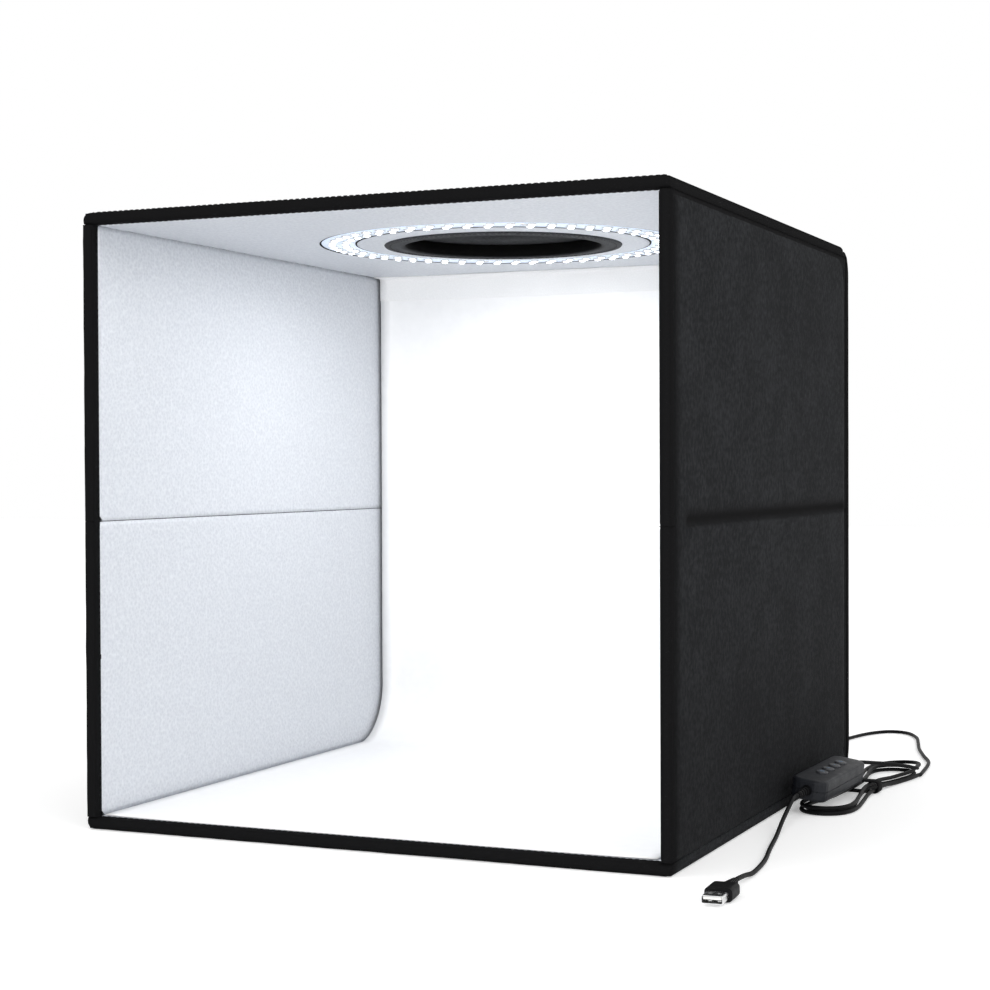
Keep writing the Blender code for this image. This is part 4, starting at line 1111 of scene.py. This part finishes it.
def makeCeilingDisc(look):
    # Silver disc between the ring light and the window's collar, slightly dished
    face, sink = tent["height"] - tent["thickness"], look["sink"]
    start = ringLight["wall"] + ringLight["window"] + look["innerGap"]
    end = ringLight["inner"] - look["outerGap"]
    shares = [k / look["steps"] for k in range(look["steps"] + 1)]
    profile = [(start + (end - start) * s, face - look["dish"] * math.sin(math.pi * s) ** 0.5) for s in shares]
    profile += [(end, face + sink), (start, face + sink)]
    dress(turnedPiece("ceilingDisc", profile, 192), "silverLiner", "silver_liner", "top", "ceiling_liner_disc")


makeCeilingDisc(ceilingDisc)
print("ceiling made")

# Ring light: a thin white washer with two rows of lamps and countersunk fixings

ringLamps = {
    "outerRow": 0.1215, "outerCount": 56, "innerRow": 0.1120, "innerCount": 50,
    "packageSize": 0.0052, "packageHeight": 0.0010, "lensRadius": 0.0023, "lensHeight": 0.0008,
    "fixingRow": 0.1168, "fixingCount": 6, "fixingHead": 0.0026, "fixingRise": 0.0008,
}


def geometryTree(name, inputs):
    shape = ("Geometry", "NodeSocketGeometry")
    return newGroup(name, [(*shape, None)] + inputs, [shape], "GeometryNodeTree")


def runTree(piece, tree, values):
    modifier = piece.modifiers.new(tree.name, "NODES")
    modifier.node_group = tree
    for item in tree.interface.items_tree:
        if item.item_type == "SOCKET" and item.in_out == "INPUT" and item.name in values:
            modifier[item.identifier] = values[item.name]
    return toPlainMesh(piece)


def placeCopies(tree, source, points, way, centre=None):
    # Copies of the source's item stand on the points, their x axes along the way, moved by the centre
    align = addNode(tree, "FunctionNodeAlignRotationToVector", {"axis": "X"})
    info = addNode(tree, "GeometryNodeObjectInfo")
    place = addNode(tree, "GeometryNodeInstanceOnPoints")
    realize = addNode(tree, "GeometryNodeRealizeInstances")
    finish = addNode(tree, "GeometryNodeSetMaterial")
    wire(tree, (points, place.inputs["Points"]), (way, align.inputs["Vector"]),
         (align.outputs[0], place.inputs["Rotation"]), (source.outputs["Item"], info.inputs["Object"]),
         (info.outputs["Geometry"], place.inputs["Instance"]), (realize.outputs[0], finish.inputs["Geometry"]),
         (source.outputs["Finish"], finish.inputs["Material"]))
    copies = place.outputs[0]
    if centre is not None:
        move = addNode(tree, "GeometryNodeTransform")
        wire(tree, (copies, move.inputs["Geometry"]), (centre, move.inputs["Translation"]))
        copies = move.outputs[0]
    wire(tree, (copies, realize.inputs[0]))
    return finish.outputs[0]


def makeRowTree():
    # Copies of a piece round a circle, facing outwards
    tree, source, sink = geometryTree("rowOnCircle", [
        ("Radius", "NodeSocketFloat", 0.1), ("Count", "NodeSocketInt", 12), ("Centre", "NodeSocketVector", None),
        ("Item", "NodeSocketObject", None), ("Finish", "NodeSocketMaterial", None),
    ])
    circle = addNode(tree, "GeometryNodeMeshCircle")
    position = addNode(tree, "GeometryNodeInputPosition")
    copies = placeCopies(tree, source, circle.outputs["Mesh"], position.outputs[0], source.outputs["Centre"])
    wire(tree, (source.outputs["Radius"], circle.inputs["Radius"]),
         (source.outputs["Count"], circle.inputs["Vertices"]), (copies, sink.inputs["Geometry"]))
    return tree


rowTree = makeRowTree()


def blockLoops(halfSize, top, soft):
    # Small moulded block with softened lower edges, hanging from height 0
    rows = []
    for inset, z in ((0.0, 0.0), (0.0, top + soft), (soft * 0.3, top + soft * 0.3), (soft, top)):
        reach = halfSize - inset
        rows.append([(-reach, -reach, z), (reach, -reach, z), (reach, reach, z), (-reach, reach, z)])
    return rows


def domeLoops(radius, base, rise, sides=10, rows=4):
    angles = [quarter * k / rows for k in range(rows)]
    return [[(x, y, base - rise * math.sin(a)) for x, y in circlePoints((0, 0), radius * math.cos(a), sides)]
            for a in angles]


def rowPiece(name, item, radius, count, finish):
    piece = addPiece(name, [(0, 0, 0)], [], None, False, False)
    centre = (*ringLight["centre"], ringLight["face"])
    values = {"Radius": radius, "Count": count, "Centre": centre, "Item": item, "Finish": finishes[finish]}
    return runTree(piece, rowTree, values)


def makeRingLight(look):
    faceZ, soft = ringLight["face"], ringLight["soft"]
    back, inner, outer = faceZ + ringLight["thickness"], ringLight["inner"], ringLight["outer"]
    profile = [(inner, back), (inner, faceZ + soft), (inner + soft, faceZ),
               (outer - soft, faceZ), (outer, faceZ + soft), (outer, back)]
    plate = setMaterial(turnedPiece("ringPlate", profile, 192), finishes["ringBoard"])
    packageLoops = blockLoops(look["packageSize"] / 2, -look["packageHeight"], 0.0002)
    lensLoops = domeLoops(look["lensRadius"], -look["packageHeight"] + 0.0001, look["lensHeight"])
    headLoops = domeLoops(look["fixingHead"], 0.0001, look["fixingRise"], 20, 5)
    package, lens = cappedPiece("lampPackage", packageLoops), cappedPiece("lampLens", lensLoops)
    head = cappedPiece("fixingHead", headLoops)
    rows = []
    for label in ("Outer", "Inner"):
        radius, count = look[label.lower() + "Row"], look[label.lower() + "Count"]
        rows.append(rowPiece("lampPackages" + label, package, radius, count, "whitePlastic"))
        rows.append(rowPiece("lampLenses" + label, lens, radius, count, "lampFace"))
    # Dark rings filling the gaps round the plate's rims: painted shadow in the gaps
    for label, rim in (("Outer", outer), ("Inner", inner)):
        start, end = (rim + gap for gap in ringLight[label.lower() + "Seam"])
        lowZ = faceZ - ringLight["gapShadowDrop"]
        profile = [(start, lowZ), (end, lowZ), (end, back), (start, back)]
        rows.append(setMaterial(turnedPiece("ringSeam" + label, profile, 192), finishes["edgeTape"]))
    rows.append(rowPiece("ringFixings", head, look["fixingRow"], look["fixingCount"], "platedShell"))
    for spare in (package, lens, head):
        bpy.data.objects.remove(spare, do_unlink=True)
    for piece in [plate] + rows:
        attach(piece, "top")
        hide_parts("ring_light_board")


makeRingLight(ringLamps)
print("ring light made")

# Window collar: a cloth-covered flange under the ceiling and a soft tube up to the flap

collarLook = {"rim": 0.0006, "stitchInset": 0.0040, "stitchZ": 0.39055, "shadowEdge": 0.0016, "shadowRun": 0.0012}


def makeCollar(look):
    topZ, face, rim = tent["height"], tent["height"] - tent["thickness"], look["rim"]
    window, flange, wall = ringLight["window"], ringLight["flangeOuter"], ringLight["wall"]
    under = face - ringLight["flangeThickness"]
    profile = [
        (window + wall, face), (flange - 0.0002, face), (flange, face - rim), (flange - rim, under),
        (flange - 0.0035, under - 0.0001), (flange - 0.0045, under + 0.0002), (window + 0.0048, under + 0.0001),
        (window + 0.0038, under - 0.0002), (window + 0.0010, under), (window, under + 0.0010),
        (window - 0.0003, face + 0.0030), (window, topZ - 0.0012), (window + 0.0006, topZ - 0.0003),
        (window + wall, topZ - 0.0002),
    ]
    x, y = ringLight["centre"]
    piece = turnedPiece("windowCollar", profile, 160)
    # Painted shadow: the cloth darkens towards the window's rim
    setBindingAndShadeMask(piece, lambda co: ease(
        (window + look["shadowEdge"] - math.hypot(co.x - x, co.y - y)) / look["shadowRun"]))
    dress(piece, "collarCloth", "black_cloth", "top", "window_collar")


makeCollar(collarLook)

# Outer panels of the top, back and base

basePanelLook = {"inset": 0.0105, "run": 0.004, "height": -0.0002, "sag": -0.0001}
topHole = ringLight["window"] + ringLight["wall"] + ringLight["panelGap"]
topPanel = holedPanel("topPanel", boards["top"], outerPanel["inset"], topHole, outerPanel, clothWrinkle, 1)
backPanel = cutAway(panelPiece("backPanel", boards["back"], outerPanel["inset"], outerPanel, clothWrinkle), backSlot)
basePanel = panelPiece("basePanel", boards["base"], basePanelLook["inset"], basePanelLook,
                       lambda world, inward: basePanelLook["sag"])
for piece, key in ((topPanel, "top"), (backPanel, "back"), (basePanel, "base")):
    setBindingAndShadeMask(bendPiece(piece), lambda co: 0.0)
    dress(piece, "coverCloth", "black_cloth", key, key + "_outer_cloth")
bpy.data.objects.remove(backSlot, do_unlink=True)
print("outer panels made")

# Backdrop: one plastic sheet from its pale hanging strip, down the back and forward over the base

backdrop = {
    "rearY": 0.1985, "halfWidth": 0.189, "topZ": 0.3914, "floorZ": 0.0083, "sweep": 0.046, "frontY": -0.209,
    "thickness": 0.0006, "gap": 0.0004, "sway": 0.0007, "swayRun": 0.05,
    "bow": 0.0075, "bowPower": 12, "curl": 0.0006, "curlPower": 6, "steps": 60, "arcSteps": 24, "columns": 48,
}
hanger = {
    "faceY": 0.1976, "topZ": 0.3917, "drop": 0.019, "thickness": 0.0010, "flange": 0.012,
    "soft": 0.0002, "wave": 0.0003, "steps": 60,
}


def backdropBow(x):
    # The sheet and its strip come forward at their side edges
    return backdrop["bow"] * (abs(x) / backdrop["halfWidth"]) ** backdrop["bowPower"]


def quarterTurn(y, z, reachY, reachZ, steps):
    # Side-view points from upright to level, each with the way its face looks
    ways = [(math.cos(quarter * k / steps), math.sin(quarter * k / steps)) for k in range(steps + 1)]
    return [(y - reachY * (1 - wayY), z + reachZ * (1 - wayZ), wayY, wayZ) for wayY, wayZ in ways]


def ribbonPiece(name, line, columns, pointAt):
    # Strip along a side-view line; at a share across, -1 to 1, pointAt gives x, both faces' offsets and the flat x
    upper, lower, flat, along = [], [], [], 0.0
    for i, (y, z, wayY, wayZ) in enumerate(line):
        if i:
            along += math.hypot(y - line[i - 1][0], z - line[i - 1][1])
        row = [pointAt(line[i], 2 * j / columns - 1) for j in range(columns + 1)]
        upper.append([Vector((x, y + wayY * face, z + wayZ * face)) for x, face, under, across in row])
        lower.append([Vector((x, y + wayY * under, z + wayZ * under)) for x, face, under, across in row])
        flat.append([(across, along) for x, face, under, across in row])
    return sheetPiece(name, upper, lower, flat), along


def makeBackdrop(look):
    rear, floor, sweep, wide, thick = (look[k] for k in ("rearY", "floorZ", "sweep", "halfWidth", "thickness"))
    drop, run, steps = look["topZ"] - floor - sweep, rear - sweep - look["frontY"], look["steps"]
    line = [(rear, look["topZ"] - drop * k / steps, 1, 0) for k in range(steps)]
    line += quarterTurn(rear, floor, sweep, sweep, look["arcSteps"])
    line += [(rear - sweep - run * k / steps, floor, 0, 1) for k in range(1, steps + 1)]
    line = [(y, z, -wall, bed) for y, z, wall, bed in line]

    def pointAt(spot, share):
        y, z, wall, bed = spot[0], spot[1], -spot[2], spot[3]
        x = wide * share
        hang = wall * ease((look["topZ"] - z) / look["swayRun"])
        sway = noise.noise(Vector((x * 5, y * 5, z * 5))) * look["sway"] * hang
        curl = look["curl"] * bed * (abs(x) / wide) ** look["curlPower"]
        face = thick + max(0.0, sway + look["gap"]) * wall + curl + backdropBow(x) * wall
        return x, face, face - thick, x

    piece, length = ribbonPiece("backdropSheet", line, look["columns"], pointAt)
    return dress(piece, "whiteSheet", "white_sheet", "base", "backdrop_sheet"), length


backdropSheet, sheetLength = makeBackdrop(backdrop)
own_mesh(backdropSheet)


def makeHanger(look):
    # Pale strip sewn under the ceiling, which the sheet's head is pressed onto
    y, top, thick, soft = (look[k] for k in ("faceY", "topZ", "thickness", "soft"))
    foot, rear = top - look["drop"], y - thick
    section = [(y, top), (y, foot + soft), (y - soft, foot), (rear + soft, foot), (rear, foot + soft),
               (rear, top - thick - 0.002), (rear - 0.0006, top - thick - 0.0006), (rear - 0.002, top - thick),
               (y - look["flange"], top - thick), (y - look["flange"], top)]
    loops = []
    for k in range(look["steps"] + 1):
        x = backdrop["halfWidth"] * (2 * k / look["steps"] - 1)
        wave = abs(noise.noise(Vector((x * 16, 2.0, 0.5)))) * look["wave"]
        loops.append([(x, py - backdropBow(x) - wave * (top - pz) / look["drop"], pz) for py, pz in section])
    piece = cappedPiece("backdropHanger", loops)
    dress(piece, "hemCloth", "hanger_cloth", "top", "backdrop_hanger")
    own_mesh(piece)


makeHanger(hanger)
print("backdrop made")

# Window flap: a thin padded cover with a bound edge, its hinge tape and pull tab

flap = {
    "halfSize": 0.086, "rearGap": 0.0004, "lowZ": 0.4003, "thickness": 0.0021, "corner": 0.012, "binding": 0.0075,
    "seam": 0.00055, "seamWidth": 0.0011, "padding": 0.0007, "paddingRun": 0.012, "wave": 0.0003, "waveRun": 0.006,
    "bindingSoft": 0.0008, "bindingStart": 0.0006, "stitchInset": 0.0056,
    "tapeLength": 0.150, "tapeWidth": 0.014, "tabWidth": 0.026, "tabLength": 0.018, "tabGap": 0.0003,
    "clothThickness": 0.0009, "ribs": 5200, "tapeRib": 0.00012, "tabRib": 0.0001,
}


def stripPiece(name, item, thick, liftAt, step=0.002, soft=0.0004, softRun=0.0012):
    # Thin cloth strip lying on z = 0 of its own frame, with rounded edges
    grid = panelGrid(item, (step, step))
    upper, lower = [], []
    for row in grid:
        heights = [thick - soft + soft * ease(edgeDistance(item, x, y) / softRun) + liftAt(x, y) for x, y in row]
        upper.append([item["place"] @ Vector((x, y, z)) for (x, y), z in zip(row, heights)])
        lower.append([item["place"] @ Vector((x, y, 0.0)) for x, y in row])
    return sheetPiece(name, upper, lower, grid)


def flapBoard(look):
    size, middle = look["halfSize"], ringLight["centre"][1]
    return board("window_flap", Matrix.Translation((0, 0, look["lowZ"])), (-size, middle - size),
                 (size, middle + size - look["rearGap"]), (look["corner"],) * 4)


def makeFlap(look, item):
    place, thin, ribs = item["place"], look["clothThickness"], look["ribs"]
    halfTape, halfTab = look["tapeLength"] / 2, look["tabWidth"] / 2

    def padLift(x, y):
        inward = edgeDistance(item, x, y)
        seam = -look["seam"] * math.exp(-((inward - look["binding"]) / look["seamWidth"]) ** 2)
        swell = look["padding"] * ease((inward - look["binding"]) / look["paddingRun"])
        wave = noise.noise(Vector((x * 22, y * 22, 4))) * look["wave"] * ease(inward / look["waveRun"])
        return seam + swell + wave

    def bindingTone(co):
        past = edgeDistance(item, co.x, co.y) - look["binding"] + look["bindingStart"]
        return 1 - ease(past / look["bindingSoft"])

    piece = stripPiece("windowFlap", item, look["thickness"], padLift)
    setBindingAndShadeMask(piece, bindingTone)
    dress(piece, "coverCloth", "black_cloth", "window_flap", "window_flap")
    tapeY = ringLight["centre"][1] + look["halfSize"] + look["rearGap"]
    tape = board("top", place, (-halfTape, tapeY), (halfTape, tapeY + look["tapeWidth"]), (0.0015,) * 4)
    ridge = stripPiece("flapHingeTape", tape, thin, lambda x, y: look["tapeRib"] * math.sin(y * ribs))
    dress(ridge, "edgeTape", "black_tape", "top", "flap_hinge_tape")
    tabY = item["low"][1] - look["tabGap"]
    tab = board("window_flap", place, (-halfTab, tabY - look["tabLength"]), (halfTab, tabY),
                (0.006, 0.006, 0.0015, 0.0015))
    pull = stripPiece("flapPullTab", tab, thin, lambda x, y: look["tabRib"] * math.sin(x * ribs))
    dress(pull, "edgeTape", "black_tape", "window_flap", "flap_pull_tab")


flapItem = flapBoard(flap)
makeFlap(flap, flapItem)


def makeFlapLining():
    # Lighter lining on the flap's underside, seen up through the window
    reach, z = ringLight["window"] - ringLight["liningGap"], flap["lowZ"]
    profile = [(0.0004, z - 0.0006), (reach - 0.0004, z - 0.0006), (reach, z - 0.0003), (reach, z), (0.0004, z)]
    dress(turnedPiece("flapLining", profile, 96), "flapLining", "black_cloth", "window_flap")


makeFlapLining()
print("flap made")

# Closure tabs: hook tape from the back board over onto the top

closureTabs = {
    "x": 0.120, "halfWidth": 0.015, "drop": 0.026, "reach": 0.022, "thickness": 0.0009, "bend": 0.003,
    "tipRound": 0.006, "gap": 0.0003, "rib": 0.00010, "ribs": 4200, "edgeSoft": 0.0003,
    "dropStep": 0.0015, "dropSteps": 16, "arcSteps": 8, "topSteps": 18, "columns": 16,
}


def makeClosureTab(name, node, x, look):
    rear, topZ, bend, steps = tent["backY"] + look["gap"], height + look["gap"], look["bend"], look["topSteps"]
    frontEnd = tent["backY"] - tent["thickness"] - look["reach"]
    line = [(rear, height - look["drop"] + k * look["dropStep"], 1, 0) for k in range(look["dropSteps"])]
    line = [entry for entry in line if entry[1] < topZ - bend]
    line += quarterTurn(rear, topZ, bend, -bend, look["arcSteps"])
    line += [(rear - bend - (rear - bend - frontEnd) * k / steps, topZ, 0, 1) for k in range(1, steps + 1)]

    def pointAt(spot, share):
        tip = max(0.0, look["tipRound"] - (spot[0] - frontEnd)) if spot[3] == 1 else 0.0
        narrow = look["tipRound"] - math.sqrt(max(0.0, look["tipRound"] ** 2 - tip ** 2))
        across = (look["halfWidth"] - narrow) * share
        rib = look["rib"] * math.sin(across * look["ribs"])
        return x + across, look["thickness"] + rib - look["edgeSoft"] * (abs(share) > 0.99), 0, across

    piece, _ = ribbonPiece(name, line, look["columns"], pointAt)
    dress(bendPiece(piece), "edgeTape", "black_tape", "back", node)


makeClosureTab("closureTabLeft", "left_closure_tab", -closureTabs["x"], closureTabs)
makeClosureTab("closureTabRight", "right_closure_tab", closureTabs["x"], closureTabs)
print("closure tabs made")

# Stitches along the bound rims, the window and the flap

stitching = {
    "pitch": 0.0042, "length": 0.0030, "thread": 0.00028, "tip": 0.00008, "rimInset": 0.0050, "lipInset": 0.0052,
    "lipEnds": 0.006, "lipLift": 0.0001,
}


def makeStitchTree():
    # Short threads set end to end along an edge path
    tree, source, sink = geometryTree("stitchesAlongPath", [
        ("Pitch", "NodeSocketFloat", 0.004), ("Item", "NodeSocketObject", None),
        ("Finish", "NodeSocketMaterial", None),
    ])
    curve = addNode(tree, "GeometryNodeMeshToCurve")
    resample = addNode(tree, "GeometryNodeResampleCurve", {"mode": "LENGTH"})
    tangent = addNode(tree, "GeometryNodeInputTangent")
    copies = placeCopies(tree, source, resample.outputs[0], tangent.outputs[0])
    wire(tree, (source.outputs["Geometry"], curve.inputs["Mesh"]), (curve.outputs[0], resample.inputs["Curve"]),
         (source.outputs["Pitch"], resample.inputs["Length"]), (copies, sink.inputs["Geometry"]))
    return tree


stitchTree = makeStitchTree()
halfStitch, thread, tip = stitching["length"] / 2, stitching["thread"], stitching["tip"]
threadStages = ((-halfStitch, tip), (-halfStitch * 0.6, thread), (halfStitch * 0.6, thread), (halfStitch, tip))
threadRings = [[(x, y, z) for y, z in circlePoints((0, 0), radius, 5)] for x, radius in threadStages]
threadItem = cappedPiece("threadItem", threadRings)


def stitchPiece(name, path, closed, body):
    points = [tuple(p) for p in path]
    edges = [(i, i + 1) for i in range(len(points) - 1)]
    if closed:
        edges.append((len(points) - 1, 0))
    mesh = bpy.data.meshes.new(name)
    mesh.from_pydata(points, edges, [])
    piece = bpy.data.objects.new(name, mesh)
    scene.collection.objects.link(piece)
    runTree(piece, stitchTree, {"Pitch": stitching["pitch"], "Item": threadItem, "Finish": finishes["stitchThread"]})
    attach(piece, body)


def rimPath(key, lift=0.0003):
    # Round the board's outer face
    loop = outlineLoop(boards[key], stitching["rimInset"], -lift, 8, 0.01)
    return [bendRear(point) for point in placed(boards[key]["place"], loop)]


def frontLipPath(item, count=60):
    # Along the front lip on the inner face
    start, y = item["low"][0] + stitching["lipEnds"], item["low"][1] + stitching["lipInset"]
    length, z = item["high"][0] - stitching["lipEnds"] - start, tent["thickness"] + stitching["lipLift"]
    return [item["place"] @ Vector((start + length * k / count, y, z)) for k in range(count + 1)]


stitchPiece("topRimStitches", rimPath("top"), True, "top")
backRim = rimPath("back")
slotLeft, slotRight = leadSlot["left"] - leadSlot["stitchGap"], leadSlot["right"] + leadSlot["stitchGap"]
slotSpots = [i for i, (x, y, z) in enumerate(backRim) if z < leadSlot["stitchTop"] and slotLeft < x < slotRight]
stitchPiece("backRimStitches", backRim[slotSpots[-1] + 1:] + backRim[:slotSpots[0]], False, "back")
for key in ("base", "top", "leftLower", "leftUpper", "rightLower", "rightUpper"):
    stitchPiece(key + "LipStitches", frontLipPath(boards[key]), False, boards[key]["body"])
collarLine = circlePoints(ringLight["centre"], ringLight["flangeOuter"] - collarLook["stitchInset"], 120)
stitchPiece("collarStitches", [(x, y, collarLook["stitchZ"]) for x, y in collarLine], True, "top")
flapLine = outlineLoop(flapItem, flap["stitchInset"], flap["thickness"] + stitching["lipLift"], 8, 0.008)
stitchPiece("flapStitches", placed(flapItem["place"], flapLine), True, "window_flap")
bpy.data.objects.remove(threadItem, do_unlink=True)
print("stitches made")

# Button symbols: generic signs, slightly raised

symbols = {"size": 0.0034, "stroke": 0.00048, "rise": 0.00010, "sink": 0.00006, "buttonRise": 0.0012}


def strokeBars(kind, size, stroke):
    # Bars of a symbol: middle x and y, half length, half width and turn
    if kind == "power":
        angles = [math.radians(125 + 290 * i / 13) for i in range(14)]
        bars = [(size * 0.42 * math.cos(a), size * 0.42 * math.sin(a), stroke * 0.62, stroke * 0.5, a + quarter)
                for a in angles]
        return bars + [(0, size * 0.28, stroke * 0.45, size * 0.24, 0)]
    if kind == "brighter":
        return [(0, 0, size * 0.42, stroke * 0.5, 0), (0, 0, stroke * 0.5, size * 0.42, 0)]
    if kind == "dimmer":
        return [(0, 0, size * 0.42, stroke * 0.5, 0)]
    bars = []
    for count, reach, length, width, turn in ((16, 0.24, 0.45, 0.5, quarter), (8, 0.44, 0.62, 0.36, 0)):
        for i in range(count):
            a = 2 * math.pi * i / count
            x, y = size * reach * math.cos(a), size * reach * math.sin(a)
            bars.append((x, y, stroke * length, stroke * width, a + turn))
    return bars


def makeSymbol(kind, y, look):
    # Flat bars just over the face of a button
    top = dimmerPlace["shellTop"] + look["buttonRise"]
    points, faces = [], []
    for x0, y0, halfX, halfY, turn in strokeBars(kind, look["size"], look["stroke"]):
        start = len(points)
        for z, inset in ((top - look["sink"], 0.0), (top + look["rise"], 0.00004)):
            for sx, sy in ((-1, -1), (1, -1), (1, 1), (-1, 1)):
                px, py = sx * (halfX - inset), sy * (halfY - inset)
                rx, ry = px * math.cos(turn) - py * math.sin(turn), px * math.sin(turn) + py * math.cos(turn)
                points.append(dimmerFrame @ Vector((-(y0 + ry), x0 + rx + y, z)))
        faces += [[start + 3, start + 2, start + 1, start], [start + 4, start + 5, start + 6, start + 7]]
        faces += [[start + i, start + (i + 1) % 4, start + 4 + (i + 1) % 4, start + 4 + i] for i in range(4)]
    piece = addPiece("symbol" + kind.capitalize(), points, faces, None, False)
    dress(piece, "iconPrint", "button_plastic", "button_" + kind)


for kind, y in buttonSpots.items():
    makeSymbol(kind, y, symbols)


# Carried-over parts keep their shape and get their finish here

carried = {
    "softMoulding": ["lead_outlet_sleeve", "dimmer_rear_sleeve", "dimmer_front_sleeve", "plug_body"],
    "dimmerShell": ["dimmer_lower_shell", "dimmer_upper_shell"],
    "buttonPlastic": buttonNodes,
    "circuitGreen": ["dimmer_circuit"],
    "platedShell": ["plug_shell"],
    "whitePlastic": ["plug_tongue"],
}
for finish, nodes in carried.items():
    for node in nodes:
        setMaterial(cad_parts[node], finishes[finish])
print("carried parts finished")

# Floor, backdrop and soft studio light

studio = {"worldLight": 0.92, "floorGlow": 0.30, "floorReach": 6.0, "floorTone": (0.92, 0.92, 0.92, 1.0)}
lamps = {
    "keyLight": {"place": (1.9, -0.9, 1.5), "target": (0.1, 0, 0.2), "size": 1.6, "power": 11.0},
    "fillLight": {"place": (-1.4, -1.8, 1.2), "target": (0, 0, 0.2), "size": 1.6, "power": 6.0},
    "frontLight": {"place": (0.56, -1.28, 0.12), "target": (-0.05, 0.05, 0.2), "size": 0.5, "power": 5.0},
    "ringGlow": {"place": (0, 0.010, 0.3885), "target": (0, 0.010, 0), "size": 0.16, "power": 0.70},
}


def seenDirectly(tree):
    rays = tree.nodes.new("ShaderNodeLightPath")
    return mathNode(tree, "MAXIMUM", rays.outputs["Is Camera Ray"], rays.outputs["Is Glossy Ray"]), rays


def addFloor(look):
    # The floor glows a little where it is seen directly or in a reflection
    reach = look["floorReach"]
    piece = addPiece("studioFloor", [(-reach, -reach, 0), (reach, -reach, 0), (reach, reach, 0), (-reach, reach, 0)],
                     [(0, 1, 2, 3)], None, False, False)
    material, tree, shader, _ = startMaterial("paleFloor", {"Base Color": look["floorTone"], "Roughness": 0.7})
    glow = addNode(tree, "ShaderNodeEmission", None, {"Color": (1, 1, 1, 1), "Strength": 1.0})
    both = tree.nodes.new("ShaderNodeAddShader")
    wire(tree, (mathNode(tree, "MULTIPLY", seenDirectly(tree)[0], look["floorGlow"]), glow.inputs["Strength"]),
         (shader.outputs[0], both.inputs[0]), (glow.outputs[0], both.inputs[1]),
         (both.outputs[0], tree.nodes["Material Output"].inputs["Surface"]))
    setMaterial(piece, material)


def addWorld(look):
    world = bpy.data.worlds.new("studioWorld")
    world.use_nodes = True
    tree = world.node_tree
    tree.nodes.clear()
    sky = addNode(tree, "ShaderNodeBackground", None, {"Color": (1, 1, 1, 1)})
    seen, rays = seenDirectly(tree)
    seen = mathNode(tree, "MAXIMUM", seen, rays.outputs["Is Transmission Ray"])
    strength = addNode(tree, "ShaderNodeMapRange", None, {"To Min": look["worldLight"], "To Max": 1.0})
    output = tree.nodes.new("ShaderNodeOutputWorld")
    wire(tree, (seen, strength.inputs[0]), (strength.outputs[0], sky.inputs["Strength"]),
         (sky.outputs[0], output.inputs[0]))
    scene.world = world


def addLamp(name, place, target, size, power):
    data = bpy.data.lights.new(name, "AREA")
    data.shape = "DISK"
    data.size = size
    data.energy = power
    lamp = bpy.data.objects.new(name, data)
    lamp.location = place
    lamp.rotation_euler = (Vector(target) - Vector(place)).to_track_quat("-Z", "Y").to_euler()
    scene.collection.objects.link(lamp)


addFloor(studio)
addWorld(studio)
for name, look in lamps.items():
    addLamp(name, **look)
print("studio made")
